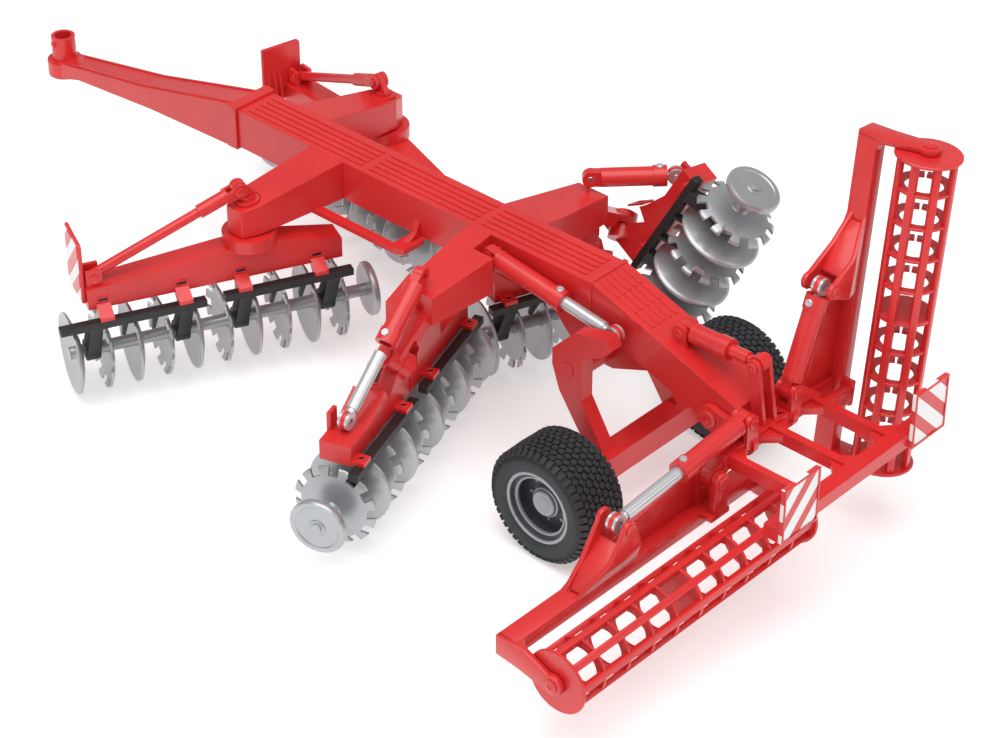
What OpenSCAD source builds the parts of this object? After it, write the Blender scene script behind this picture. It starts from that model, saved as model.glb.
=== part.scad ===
// Toy disc harrow on two wheels, in millimetres.
// Measured level: x runs forward from the wheel axle, y to the left, z up from the wheels' ground.
// The finished toy is then tipped nose-down until its foremost disc meets that ground.

/* [Tyres and rims] */
// Outside diameter of a tyre
wheel_d = 60; // [54:1:66]
// Width of a tyre
wheel_w = 30; // [24:1:32]
// Distance between the middle planes of the two wheels
track = 125; // [118:1:132]
// Diameter of the rim's seat in the tyre
rim_d = 37; // [33:0.5:41]
// Thickness of the rim's wall
rim_wall = 1.8; // [1.2:0.1:2.4]
// Depth of the wheel disc behind the rim's outer edge
wheel_inset = 9; // [5:0.5:9.5]
// Thickness of the wheel disc
wheel_disc_t = 4; // [3:0.2:5]
// Diameter of the hub cap
hub_d = 14; // [11:0.5:17]
// Height of the hub cap
hub_h = 4; // [2:0.2:6]
// Diameter of the wheel pins
wheel_pin_d = 6; // [4:0.2:8]

/* [Wheel carriage] */
// Height of the square axle beam
axle_beam_h = 13; // [10:0.5:15]
// Length of the axle beam along the machine
axle_beam_l = 12; // [9:0.5:15]
// Place of the carriage pivot ahead of the axle
carriage_x = 22; // [18:0.5:26]
// Height of the carriage pivot
carriage_z = 74; // [70:0.5:78]
// Gap between the lift cylinder's eye and the carriage arm beside it
carriage_gap = 2; // [1:0.2:3]
// Width of a carriage arm
carriage_arm_w = 8; // [6:0.5:9]
// Length of a carriage arm along the machine
carriage_arm_l = 13; // [10:0.5:15]
// Diameter of the carriage pivot pin
carriage_pin_d = 7; // [5:0.5:9]
// Diameter of the tube that carries the pivot pin
carriage_tube_d = 14; // [11:0.5:16]
// Place of the lift rod's pin ahead of the axle
lift_rod_x = 5; // [3:0.5:8]
// Height of the lift rod's pin
lift_rod_z = 95; // [93:0.5:98]
// Place of the lift barrel's pin ahead of the axle
lift_top_x = 82; // [78:0.5:88]
// Height of the lift barrel's pin
lift_top_z = 105.5; // [103:0.5:107]
// Gap between the lift cylinder and the beam's side
lift_gap = 0.6; // [0.4:0.1:1.4]

/* [Drawbar] */
// Place of the hitch tube ahead of the axle
hitch_x = 414; // [390:1:440]
// Outside diameter of the hitch tube
hitch_d = 13; // [11:0.5:15]
// Bore of the hitch tube
hitch_bore_d = 9; // [7:0.5:10]
// Height of the hitch tube's top
hitch_top_z = 95; // [90:0.5:105]
// Height of the drawbar's underside at the hitch
hitch_z = 72.5; // [68:0.5:76]
// Diameter of the ring at the foot of the hitch tube
hitch_ring_d = 19; // [17:0.5:22]
// Height of that ring
hitch_ring_h = 8.5; // [6:0.5:12]
// Width of the drawbar at the hitch
drawbar_front_w = 15; // [12:0.5:18]
// Width of the drawbar at its flange
drawbar_rear_w = 20; // [18:0.5:24]
// Thickness of the flange
flange_t = 7; // [4:0.5:10]
// How far the flange stands out around the beam
flange_lip = 1.4; // [0.6:0.1:2]

/* [Main beam] */
// Place of the beam's front end
beam_front_x = 262; // [255:1:270]
// Place of the bend where the tail starts
beam_bend_x = 24; // [20:1:28]
// Place of the tail's end
beam_rear_x = -63; // [-66:0.5:-60]
// Width of the beam
beam_w = 25; // [22:0.5:26]
// Height of the beam's section
beam_h = 21; // [18:0.5:23]
// Height of the beam's top
beam_top_z = 111.5; // [109:0.5:114]
// Slope of the tail in degrees
tail_slope = 18.5; // [16:0.5:20]
// Width of the ribs along the beam's top
rib_w = 1.7; // [1.2:0.1:2.4]
// Height of those ribs
rib_h = 0.6; // [0.4:0.1:1]
// Thickness of the web above the carriage pivot
web_t = 14; // [10:0.5:18]

/* [Front arms] */
// Place of the left arm's root ahead of the axle
front_arm_left_x = 198; // [194:1:202]
// Place of the right arm's root ahead of the axle
front_arm_right_x = 232; // [229:1:235]
// Place of the left kingpin ahead of the axle
kingpin_left_x = 205.6; // [203:0.2:208]
// Place of the right kingpin ahead of the axle
kingpin_right_x = 229.4; // [227:0.2:232]
// Distance of the kingpins from the centre plane
kingpin_y = 59.3; // [57:0.1:62]
// Diameter of the kingpins
kingpin_d = 8; // [6:0.2:9]
// Length of an arm's root along the machine
front_root_l = 23; // [20:0.5:26]
// Width of an arm's tip
front_tip_w = 19; // [17:0.5:21]
// Height of an arm's top at its tip
front_tip_z = 101.5; // [99:0.5:104]
// Depth of an arm at its tip
front_tip_h = 15; // [12:0.5:17]

/* [Side rails] */
// Distance of a side rail from the centre plane
rail_y = 27; // [25:0.5:32]
// Width of a side rail
rail_w = 4.6; // [4:0.2:6]
// Depth of a side rail
rail_h = 3; // [2.4:0.2:4]
// Place of the rail's inward end ahead of the axle
rail_rear_x = 131; // [125:1:140]

/* [Discs] */
// Diameter of a working disc
disc_d = 41.2; // [38:0.2:43]
// Depth of a disc's dish
dish_h = 4.6; // [3.6:0.2:5.4]
// Thickness of a disc
disc_t = 1.2; // [1:0.1:1.6]
// Distance from disc to disc
disc_pitch = 15.2; // [14.6:0.1:15.6]
// Number of notches in a notched disc
notch_count = 12; // [8:1:13]
// Width of a notch
notch_w = 5; // [4:0.2:6]
// Depth of a notch
notch_h = 4; // [3:0.2:5]
// Diameter of the small end disc
end_disc_d = 28; // [24:0.5:32]
// Thickness of the small end disc
end_disc_t = 4; // [3:0.2:5]
// Diameter of a disc axle
disc_axle_d = 6.4; // [5:0.2:8]

/* [Front gangs] */
// Angle of a front gang to the cross direction when it works
front_angle = 25.2; // [20:0.5:30]
// Angle through which a front gang swings forward for the road
front_swing = 53.5; // [45:0.5:58]
// Height of the disc axle
front_axle_z = 36.6; // [35:0.2:38]
// Distance of the outermost disc from the kingpin
front_outer_u = 91; // [88:0.5:94]
// Height of the gang beam's underside
front_beam_z = 63.5; // [62.5:0.1:64.5]
// Height of the gang beam's ends
front_beam_end_h = 11; // [9:0.5:13]
// Height of the gang beam below the kingpin
front_beam_mid_h = 17; // [15:0.5:18]
// Width of a gang beam
gang_beam_w = 14; // [11:0.5:16]
// Diameter of the collar below the arm's tip
collar_d = 27; // [24:0.5:29]
// Diameter of the strut on a front gang
strut_d = 5; // [4:0.2:6]
// Width of the marker plate at a front gang's end
marker_w = 24; // [20:0.5:28]
// Height of the marker plate
marker_h = 33; // [28:0.5:38]
// Thickness of the marker plate
marker_t = 2; // [1.5:0.1:3]

/* [Disc carriers] */
// Width of a carrier bar
carrier_w = 5; // [4:0.2:6]
// Height of a carrier bar
carrier_h = 4; // [3:0.1:5]
// Distance of a carrier bar behind the axle
carrier_back = 12; // [11.8:0.1:13]
// Height of a carrier bar above the axle
carrier_up = 21.5; // [21.3:0.1:22]
// Thickness of a hanger plate along the axle
hanger_t = 7; // [5:0.2:7.6]
// Width of a hanger plate
hanger_w = 11; // [9.5:0.1:12]

/* [Rear arms] */
// Place of the rear arms ahead of the axle
rear_arm_x = 88; // [85:0.5:91]
// Length of a rear arm's root along the machine
rear_root_l = 27; // [24:0.5:30]
// Length of a rear arm's tip along the machine
rear_tip_l = 19; // [17:0.5:22]
// Distance of a rear arm's tip from the centre plane
rear_tip_y = 62.4; // [62:0.1:63]
// Height of a rear arm's top at its tip
rear_tip_z = 103; // [102:0.2:103.4]
// Depth of a rear arm at its tip
rear_tip_h = 15; // [13:0.5:17]
// Distance of the fold barrel's pin from the centre plane
fold_top_y = 59.9; // [58:0.1:61]
// Height of the fold barrel's pin
fold_top_z = 110.6; // [109:0.1:112]

/* [Rear gangs] */
// Angle of a rear gang to the cross direction
rear_angle = 19.3; // [17:0.1:21]
// Angle through which the outer half of a rear gang folds up
fold_angle = 91; // [80:1:95]
// Place of a rear gang's reference point ahead of the axle
rear_gang_x = 98.5; // [97:0.1:100]
// Distance of that point from the centre plane
rear_gang_y = 53.1; // [52:0.1:54]
// Height of the disc axles
rear_axle_z = 31.2; // [30:0.1:32.5]
// Distance of the outermost disc from the reference point
rear_outer_u = 92; // [91:0.2:93]
// Distance of the fold pivot from the reference point
fold_u = 31; // [30:0.2:32]
// Height of the fold pivot
fold_z = 75; // [74:0.1:76]
// Diameter of the fold eyes
fold_eye_d = 13; // [11:0.2:14]
// Diameter of the fold pin
fold_pin_d = 5; // [4:0.2:6]
// Height of the gang beam's underside
rear_beam_z = 53.8; // [53.4:0.1:54.2]
// Height of the gang beam's outer end
rear_beam_end_h = 10.2; // [9.8:0.1:10.6]
// Width of a rear gang beam
rear_beam_w = 16; // [14.6:0.2:17]

/* [Cylinders] */
// Outside diameter of a cylinder barrel
barrel_d = 9.6; // [8.6:0.1:10]
// Diameter of the gland at a barrel's open end
gland_d = 10.8; // [10.2:0.1:11]
// Length of that gland
gland_l = 7; // [5:0.2:8]
// Diameter of a cylinder rod
rod_d = 6.2; // [5:0.1:6.6]
// Diameter of the eyes at a cylinder's ends
eye_d = 8.4; // [7.6:0.1:8.8]
// Bore of those eyes
eye_bore_d = 3.4; // [2.8:0.1:4]
// Width of those eyes
eye_w = 5; // [4:0.1:5.6]
// Thickness of a cylinder's fork cheeks
cheek_t = 2.2; // [1.6:0.1:3]

/* [Roller frame] */
// Place of the roller frame's pivot ahead of the axle
hang_x = -50; // [-52:0.5:-48]
// Height of the roller frame's pivot
hang_z = 73; // [71:0.5:75]
// Place of the front cross bar ahead of the axle
cross_x = -70; // [-72:0.5:-68.5]
// Length of the frame's bars along the machine or their width
bar_w = 8; // [6:0.5:9]
// Height of the frame's bars
bar_h = 7; // [5:0.5:9]
// Height of the frame's top
frame_top_z = 73; // [71:0.5:75]
// Place of the rear bar ahead of the axle
rear_bar_x = -120; // [-124:0.5:-116]
// Half the length of the rear bar
rear_bar_y = 60; // [56:0.5:64]
// Distance of the outer long bars from the centre plane
long_bar_y = 30; // [27:0.5:33]
// Place of the mast's top pin ahead of the axle
mast_x = -64.5; // [-67:0.5:-62]
// Height of the mast's top pin
mast_z = 102; // [100:0.5:104]
// Place of the top link's front pin ahead of the axle
link_x = -22; // [-25:0.5:-19]
// Height of the top link's front pin
link_z = 101; // [100:0.5:103]
// Width of a warning plate
warning_w = 25; // [22:0.5:28]
// Height of a warning plate
warning_h = 29; // [25:0.5:33]

/* [Roller arms] */
// Distance of a roller arm's hinge from the centre plane
roller_hinge_y = 39; // [38:0.2:40]
// Height of a roller arm's hinge
roller_hinge_z = 63.4; // [62:0.2:65]
// Angle through which a roller arm folds up
roller_fold = 84.3; // [78:0.5:88]
// Place of the arm beam's front face ahead of the axle
arm_front_x = -60.5; // [-61:0.1:-60]
// Width of the arm beam
arm_beam_w = 15.4; // [14.6:0.1:15.6]
// Height of the arm beam's underside
arm_beam_z = 36.5; // [34:0.5:38]
// Height of the arm beam
arm_beam_h = 10.5; // [9:0.5:12]
// Distance of the roller rod's pin from the centre plane
roller_rod_y = 104; // [101:0.5:107]
// Height of the roller rod's pin
roller_rod_z = 74; // [72:0.5:76]
// Distance of the roller barrel's pin from the centre plane
roller_top_y = 16; // [14:0.5:18]
// Height of the roller barrel's pin
roller_top_z = 82; // [80:0.5:84]

/* [Rollers] */
// Place of the roller's axis ahead of the axle
roller_x = -92.3; // [-94:0.1:-91.5]
// Height of the roller's axis
roller_z = 36.8; // [35:0.2:39]
// Diameter of the roller's end discs
roller_end_d = 31; // [29:0.5:32]
// Diameter of the roller's cage
cage_d = 27; // [25:0.5:28]
// Distance of the roller's inner end from the centre plane
roller_in_y = 6.5; // [6:0.1:8]
// Distance of the roller's outer end from the centre plane
roller_out_y = 167; // [160:1:170]
// Number of flats around the cage
cage_bar_count = 8; // [6:2:12]
// Number of bays along the cage
cage_bay_count = 9; // [7:2:11]
// Width of a cage bar between two rows of windows
cage_bar_w = 1.8; // [1.4:0.1:2.4]
// Width of a cage ring between two windows
cage_ring_w = 3.6; // [2.6:0.1:4.4]
// Thickness of the cage's wall
cage_wall = 1.8; // [1.4:0.1:2.4]
// Thickness of the roller's end discs
roller_end_t = 1.6; // [1.2:0.1:2.4]
// Diameter of the roller's pins
roller_pin_d = 5; // [4:0.2:6]
// Thickness of the plates that carry a roller
roller_cheek_t = 3; // [2.4:0.1:3.4]

/* [Hidden] */
$fn = 48;

// Clearance around turning pins, between sliding faces, at the rods' open eyes, and the overrun of cuts
turn_gap = 0.08;
face_gap = 0.3;
open_gap = 0.7;
over = 1;

// Radii and halves
wheel_r = wheel_d / 2;
disc_r = disc_d / 2;
dish_r = (disc_r * disc_r + dish_h * dish_h) / (2 * dish_h);
axle_r = disc_axle_d / 2;
pin_r = eye_bore_d / 2 - turn_gap;
lift_y = beam_w / 2 + lift_gap + gland_d / 2;
carriage_arm_y = lift_y + eye_w / 2 + carriage_gap + carriage_arm_w / 2;

// Beam heights
beam_bottom_z = beam_top_z - beam_h;
tail_drop = (beam_bend_x - beam_rear_x) * tan(tail_slope);

// Kingpins, working directions and the points that the cylinders join
function kingpin(side) = [side > 0 ? kingpin_left_x : kingpin_right_x, kingpin_y, 0];
function front_point(side, u, v, z) = kingpin(side)
  + [u * sin(front_angle) + v * cos(front_angle), u * cos(front_angle) - v * sin(front_angle), z];
function rear_point(u, v, z) = [rear_gang_x - u * sin(rear_angle) + v * cos(rear_angle),
  rear_gang_y + u * cos(rear_angle) + v * sin(rear_angle), z];
function spun(p, k, a) = p * cos(a) + cross(k, p) * sin(a) + k * (k * p) * (1 - cos(a));
function unit(p) = p / norm(p);

// Fold pivot of the outer rear gangs: its axis leans outward, forward and up
fold_axis_shares = [0.52, 0.53, 0.67];
fold_v_share = -0.268;
fold_axis = unit(rear_point(fold_axis_shares[0], fold_axis_shares[1], fold_axis_shares[2])
  - rear_point(0, 0, 0));
fold_point = rear_point(fold_u, fold_v_share * rear_beam_w, fold_z);
fold_local = [fold_u, -fold_v_share * rear_beam_w, fold_z];
fold_axis_local = unit([fold_axis_shares[0], -fold_axis_shares[1], fold_axis_shares[2]]);
fold_rod_u_share = 0.82;
fold_rod_lift = norm([eye_d, eye_w]) / 2 + face_gap / 2;
fold_rod_pin = rear_point(rear_outer_u * fold_rod_u_share, 0,
  rear_beam_z + rear_beam_end_h + fold_rod_lift);
fold_top_pin = [rear_arm_x, fold_top_y, fold_top_z];
fold_rod_up = fold_point + spun(fold_rod_pin - fold_point, fold_axis, fold_angle);

lift_top_pin = [lift_top_x, lift_y, lift_top_z];
lift_rod_pin = [lift_rod_x, lift_y, lift_rod_z];
link_front_pin = [link_x, 0, link_z];
link_rear_pin = [mast_x, 0, mast_z];
roller_hinge = [cross_x, roller_hinge_y, roller_hinge_z];
roller_top_pin = [cross_x, roller_top_y, roller_top_z];
roller_rod_pin = [cross_x, roller_rod_y, roller_rod_z];
roller_rod_up = roller_hinge + spun(roller_rod_pin - roller_hinge, [1, 0, 0], roller_fold);

// Tip of the finished toy: its foremost disc, on the gang that is swung forward, meets the ground
park_reach = kingpin_right_x + (front_outer_u + dish_h / 2 + disc_t) * sin(front_angle + front_swing);
park_rise = wheel_r - (front_axle_z - disc_r);
park_pitch = asin(wheel_r / norm([park_reach, park_rise])) - atan2(park_rise, park_reach);

// Middle of the finished toy's outline
front_edge_x = (hitch_x + hitch_ring_d / 2) * cos(park_pitch)
  + (hitch_z + hitch_ring_h - wheel_r) * sin(park_pitch);
rear_edge_x = (rear_bar_x - bar_w / 2 - marker_t) * cos(park_pitch)
  + (frame_top_z - bar_h - wheel_r) * sin(park_pitch);
roller_up_y = roller_hinge_y + (roller_out_y - roller_hinge_y) * cos(roller_fold)
  - (roller_z - roller_hinge_z) * sin(roller_fold);
fold_up = spun(rear_point(1, 0, 0) - rear_point(0, 0, 0), fold_axis, fold_angle);
disc_up = fold_point
  + spun(rear_point(rear_outer_u - dish_h / 2, 0, rear_axle_z) - fold_point, fold_axis, fold_angle);
right_edge_y = max(roller_up_y + roller_end_d / 2 * sin(roller_fold),
  disc_up[1] + disc_r * sqrt(1 - fold_up[1] * fold_up[1]));
left_edge_y = roller_out_y + face_gap + roller_cheek_t;
mid_x = (front_edge_x + rear_edge_x) / 2;
mid_y = (left_edge_y - right_edge_y) / 2;

red = [0.85, 0.08, 0.07];
silver = [0.72, 0.73, 0.74];
black = [0.07, 0.07, 0.08];
grey = [0.45, 0.46, 0.48];

// Places on the ground and turned places

module parked() {
  translate([-mid_x, -mid_y, wheel_r]) rotate([0, park_pitch, 0]) translate([0, 0, -wheel_r]) children();
}

module on_side(side) {
  if (side > 0) children();
  else mirror([0, 1, 0]) children();
}

module turned(point, axis, angle) {
  translate(point) rotate(a = angle, v = axis) translate(-point) children();
}

// Local frames: x outward along the gang, y rearward, z up
module front_frame(side) {
  on_side(side)
    turned(kingpin(side), [0, 0, 1], side > 0 ? 0 : -front_swing)
      translate(kingpin(side)) rotate([0, 0, 90 - front_angle]) children();
}

module rear_frame(side) {
  on_side(side) translate(rear_point(0, 0, 0)) rotate([0, 0, 90 + rear_angle]) children();
}

module fold_frame(side) {
  on_side(side)
    turned(fold_point, fold_axis, side > 0 ? 0 : fold_angle)
      translate(rear_point(0, 0, 0)) rotate([0, 0, 90 + rear_angle]) children();
}

module roller_side(side) {
  on_side(side) turned(roller_hinge, [1, 0, 0], side > 0 ? 0 : roller_fold) children();
}

// Frame whose z runs from one point to the other and whose y stays level
module along(a, b) {
  d = b - a;
  translate(a) rotate([0, acos(d[2] / norm(d)), atan2(d[1], d[0])]) children();
}

// Plates drawn on edge: in the x and z plane about a place y, or in the y and z plane about a place x

module in_xz(y, t) {
  translate([0, y + t / 2, 0]) rotate([90, 0, 0]) linear_extrude(t) children();
}

module in_yz(x, t) {
  translate([x - t / 2, 0, 0]) rotate([90, 0, 90]) linear_extrude(t) children();
}

link_bar_share = 0.94;

module bar2d(p, q, w) {
  d = q - p;
  translate(p) rotate(atan2(d[1], d[0])) translate([0, -w / 2]) square([norm(d), w]);
}

module link2d(p, q, w) {
  bar2d(p, q, w * link_bar_share);
  translate(p) circle(d = w);
  translate(q) circle(d = w);
}

module cross_pin(x, z, y0, y1, d) {
  translate([x, y1, z]) rotate([90, 0, 0]) cylinder(h = y1 - y0, d = d);
}

module long_pin(x0, x1, y, z, d) {
  translate([x0, y, z]) rotate([0, 90, 0]) cylinder(h = x1 - x0, d = d);
}

module block(low, high) {
  translate(low) cube(high - low);
}

// Drawbar with its hitch tube and flange

drawbar_top_shares = [[0.02, 0.24], [0.5, 0.55], [1, 1]];
drawbar_low_shares = [[1, 0.35], [0.55, 0.27], [0.14, 0.13], [0.02, 0]];

module drawbar() {
  length = hitch_x - beam_front_x - flange_t;
  rise = beam_top_z - hitch_z;
  side = [for (s = concat(drawbar_top_shares, drawbar_low_shares))
    [hitch_x - s[0] * length, hitch_z + s[1] * rise]];
  lip = [flange_t, beam_w + 2 * flange_lip, beam_h + 2 * flange_lip];
  color(red) difference() {
    union() {
      intersection() {
        in_xz(0, drawbar_rear_w) polygon(side);
        linear_extrude(beam_top_z + over) polygon([
          [hitch_x, drawbar_front_w / 2], [hitch_x, -drawbar_front_w / 2],
          [beam_front_x, -drawbar_rear_w / 2], [beam_front_x, drawbar_rear_w / 2]]);
      }
      translate([beam_front_x, -lip[1] / 2, beam_bottom_z - flange_lip]) cube(lip);
      translate([hitch_x, 0, hitch_z]) cylinder(h = hitch_ring_h, d = hitch_ring_d);
      translate([hitch_x, 0, hitch_z]) cylinder(h = hitch_top_z - hitch_z, d = hitch_d);
    }
    translate([hitch_x, 0, hitch_z - over])
      cylinder(h = hitch_top_z - hitch_z + 2 * over, d = hitch_bore_d);
  }
}

// Main beam with its tail, ribs, carriage pivot, roller frame pivot and brackets

rib_side_shares = [-0.32, -0.16, 0, 0.16, 0.32];
rib_run_shares = [[0.02, 0.3], [0.32, 0.62], [0.64, 0.98]];
web_reach = 38;
web_foot_share = 0.6;
rim_l = 2.6;
rim_lip = 0.7;
hang_pin_d = 6;
hang_plate_t = 3.4;
lug_w = eye_w + 2 * face_gap + 2 * cheek_t;

function tail_z(x) = beam_top_z - max(0, beam_bend_x - x) * tan(tail_slope);

module rib_row(x0, x1) {
  for (y = rib_side_shares * beam_w, run = rib_run_shares)
    translate([x0 + run[0] * (x1 - x0), y - rib_w / 2, -over])
      cube([(run[1] - run[0]) * (x1 - x0), rib_w, over + rib_h]);
}

module main_beam() {
  foot_z = carriage_z - carriage_tube_d * web_foot_share;
  tube_end = carriage_arm_y - carriage_arm_w / 2 - face_gap;
  pin_end = carriage_arm_y + carriage_arm_w / 2 + face_gap;
  hang_end = beam_w / 2 + face_gap + hang_plate_t;
  color(red) {
    in_xz(0, beam_w) polygon([
      [beam_front_x, beam_top_z], [beam_bend_x, beam_top_z], [beam_rear_x, tail_z(beam_rear_x)],
      [beam_rear_x, tail_z(beam_rear_x) - beam_h], [beam_bend_x, beam_bottom_z],
      [beam_front_x, beam_bottom_z]]);
    translate([beam_bend_x, -beam_w / 2 - rim_lip, beam_bottom_z])
      cube([rim_l, beam_w + 2 * rim_lip, beam_h + rim_lip]);
    translate([0, 0, beam_top_z]) rib_row(beam_bend_x + rim_l, beam_front_x);
    translate([beam_bend_x, 0, beam_top_z]) rotate([0, -tail_slope, 0])
      rib_row(link_x - beam_bend_x + lug_w, 0);
    in_xz(0, web_t) polygon([
      [carriage_x + web_reach, beam_bottom_z + over], [carriage_x + carriage_tube_d, foot_z],
      [carriage_x - carriage_tube_d / 2, foot_z],
      [carriage_x - web_reach, tail_z(carriage_x - web_reach) - beam_h + over]]);
    cross_pin(carriage_x, carriage_z, -tube_end, tube_end, carriage_tube_d);
    cross_pin(carriage_x, carriage_z, -pin_end, pin_end, carriage_pin_d);
    cross_pin(hang_x, hang_z, -hang_end, hang_end, hang_pin_d);
    for (y = [-1, 1] * (eye_w / 2 + face_gap + cheek_t / 2))
      in_xz(y, cheek_t) link2d([link_x, link_z], [link_x, tail_z(link_x) - over], eye_d);
    cross_pin(link_x, link_z, -lug_w / 2, lug_w / 2, 2 * pin_r);
    cross_pin(lift_top_x, lift_top_z, beam_w / 2 - over, lift_y + eye_w / 2, 2 * pin_r);
  }
}

// Front arms with their side rails

tip_reach_share = 0.48;
tip_end_share = 0.27;
rail_foot_l = 9;
seat_d = 13;

module front_arm(side) {
  root_x = side > 0 ? front_arm_left_x : front_arm_right_x;
  pin = kingpin(side);
  tip_y = kingpin_y + front_tip_w * tip_reach_share;
  end_w = front_tip_w * tip_end_share;
  rail_top = beam_bottom_z;
  rail_out = rail_y + rail_w / 2;
  rail_front_x = root_x + (pin[0] - root_x) * (rail_y - beam_w / 2) / (kingpin_y - beam_w / 2);
  color(red) on_side(side) difference() {
    union() {
      intersection() {
        linear_extrude(beam_top_z) polygon([
          [root_x - front_root_l / 2, beam_w / 2], [root_x + front_root_l / 2, beam_w / 2],
          [pin[0] + front_tip_w / 2, kingpin_y], [pin[0] + end_w, tip_y],
          [pin[0] - end_w, tip_y], [pin[0] - front_tip_w / 2, kingpin_y]]);
        in_yz(pin[0], 2 * front_root_l + 2 * front_tip_w) polygon([
          [beam_w / 2, beam_bottom_z], [beam_w / 2, beam_top_z],
          [tip_y, front_tip_z], [tip_y, front_tip_z - front_tip_h]]);
      }
      translate([0, 0, rail_top - rail_h]) linear_extrude(rail_h) polygon([
        [rail_rear_x, beam_w / 2], [rail_rear_x + rail_foot_l, beam_w / 2],
        [rail_rear_x + rail_foot_l, rail_y - rail_w / 2], [rail_front_x, rail_y - rail_w / 2],
        [rail_front_x, rail_out], [rail_rear_x + rail_w, rail_out], [rail_rear_x, rail_y]]);
      in_yz(rail_rear_x + rail_foot_l / 2, rail_h) polygon([
        [beam_w / 2, rail_top - rail_h], [beam_w / 2, rail_top + rail_foot_l],
        [beam_w / 2 + rail_h, rail_top + rail_h], [rail_y, rail_top - rail_h]]);
    }
    translate([pin[0], pin[1], 0]) cylinder(h = beam_top_z + over, d = kingpin_d + 2 * turn_gap);
    translate([pin[0], pin[1], front_tip_z]) cylinder(h = beam_h, d = seat_d);
  }
}

// Rear arms with the fixed inner gang beams below them

inner_in_share = -0.47;
split_share = 0.8;
split_gap = 1.2;
pylon_shares = [-0.35, 0.5];
fold_eye_h = 7;
post_d = 2;
post_in = 1.6;
notch_l = eye_d / 2 + over;
notch_y = lift_y + gland_d / 2 + over;

module rear_arm(side) {
  pylon = pylon_shares * fold_u;
  mid_tip = [rear_arm_x, rear_tip_y - rear_tip_l / 2, rear_tip_z - rear_tip_h / 2];
  eye_mid = fold_point + fold_axis * (fold_eye_h / 2);
  notch = side > 0 ? lift_top_x + notch_l : rear_arm_x - rear_root_l / 2;
  color(red) on_side(side) {
    intersection() {
      linear_extrude(beam_top_z) polygon([
        [notch, beam_w / 2], [rear_arm_x + rear_root_l / 2, beam_w / 2],
        [rear_arm_x + rear_tip_l / 2, rear_tip_y], [rear_arm_x - rear_tip_l / 2, rear_tip_y],
        [rear_arm_x - rear_root_l / 2, notch_y], [notch, notch_y]]);
      in_yz(rear_arm_x, rear_root_l) polygon([
        [beam_w / 2, beam_bottom_z], [beam_w / 2, beam_top_z],
        [rear_tip_y, rear_tip_z], [rear_tip_y, rear_tip_z - rear_tip_h]]);
    }
    translate([rear_arm_x, fold_top_y - post_in, rear_tip_z - over])
      cylinder(h = fold_top_z - eye_d / 2 - face_gap - rear_tip_z + over, d = post_d);
    difference() {
      union() {
        translate(rear_point(0, 0, 0)) rotate([0, 0, 90 + rear_angle]) {
          block([rear_outer_u * inner_in_share, -rear_beam_w / 2, rear_beam_z],
            [fold_u * split_share - split_gap, rear_beam_w / 2, rear_beam_z + rear_beam_end_h + over]);
          block([pylon[0], -rear_beam_w / 2, rear_beam_z],
            [pylon[1], rear_beam_w / 2, rear_tip_z - rear_tip_h / 2]);
          carrier_lugs([gap_mid(inner_places[0], 0), gap_mid(inner_places[0], 3)], rear_beam_w / 2,
            rear_beam_z, rear_axle_z);
        }
        along(fold_point, fold_point + fold_axis) cylinder(h = fold_eye_h, d = fold_eye_d);
        along(mid_tip, eye_mid) translate([-fold_eye_h / 2, -fold_eye_d / 2, 0])
          cube([fold_eye_h, fold_eye_d, norm(eye_mid - mid_tip)]);
      }
      along(fold_point - fold_axis, fold_point)
        cylinder(h = fold_eye_h + 2 * over, d = fold_pin_d + 2 * turn_gap);
      along(fold_point - fold_axis * fold_eye_d, fold_point) cylinder(h = fold_eye_d, d = 2 * fold_eye_d);
    }
  }
}

// Discs in a row along x: dished shells on one axle, plain and notched by turns

module disc_shell(notched) {
  difference() {
    intersection() {
      difference() {
        translate([0, 0, dish_r]) sphere(r = dish_r);
        translate([0, 0, dish_r]) sphere(r = dish_r - disc_t);
      }
      translate([0, 0, -over]) cylinder(h = dish_h + disc_t + over, r = disc_r);
    }
    if (notched)
      for (i = [0 : notch_count - 1])
        rotate([0, 0, i * 360 / notch_count]) translate([disc_r - notch_h, -notch_w / 2, -over])
          cube([notch_h + over, notch_w, dish_h + disc_t + 2 * over]);
  }
}

module disc_row(places, first_notched, toward_out, axle_from, axle_to, z) {
  color(silver) translate([0, 0, z]) {
    translate([axle_from, 0, 0]) rotate([0, 90, 0]) cylinder(h = axle_to - axle_from, r = axle_r);
    for (i = [0 : len(places) - 1])
      translate([places[i], 0, 0]) rotate([0, toward_out ? 90 : -90, 0])
        translate([0, 0, -dish_h / 2]) disc_shell((i % 2 == 0) == first_notched);
  }
}

end_disc_shares = [[0, -0.5], [0.9, -0.5], [1, -0.25], [1, 0.3], [0.95, 0.5], [0.8, 0.5], [0.76, 0.38],
  [0.17, 0.38], [0.15, 0.62], [0, 0.62]];

module end_disc(u, z, facing) {
  color(silver) translate([u, 0, z]) rotate([0, 90 * facing, 0])
    rotate_extrude() polygon([for (p = end_disc_shares) [p[0] * end_disc_d / 2, p[1] * end_disc_t]]);
}

axle_stub = 4;

function row_places(first, count) = [for (i = [0 : count - 1]) first - i * disc_pitch];

front_places = row_places(front_outer_u, 10);
outer_places = row_places(rear_outer_u, 5);
inner_places = row_places(rear_outer_u - 5 * disc_pitch, 5);
front_end_u = front_outer_u - 10 * disc_pitch;
outer_end_u = rear_outer_u + disc_pitch;

module front_discs(side) {
  front_frame(side) {
    disc_row(front_places, false, true, front_end_u, front_outer_u + axle_stub, front_axle_z);
    end_disc(front_end_u, front_axle_z, -1);
  }
}

module outer_discs(side) {
  fold_frame(side) {
    disc_row(outer_places, true, false, outer_places[4] - axle_stub, outer_end_u, rear_axle_z);
    end_disc(outer_end_u, rear_axle_z, 1);
  }
}

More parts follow.
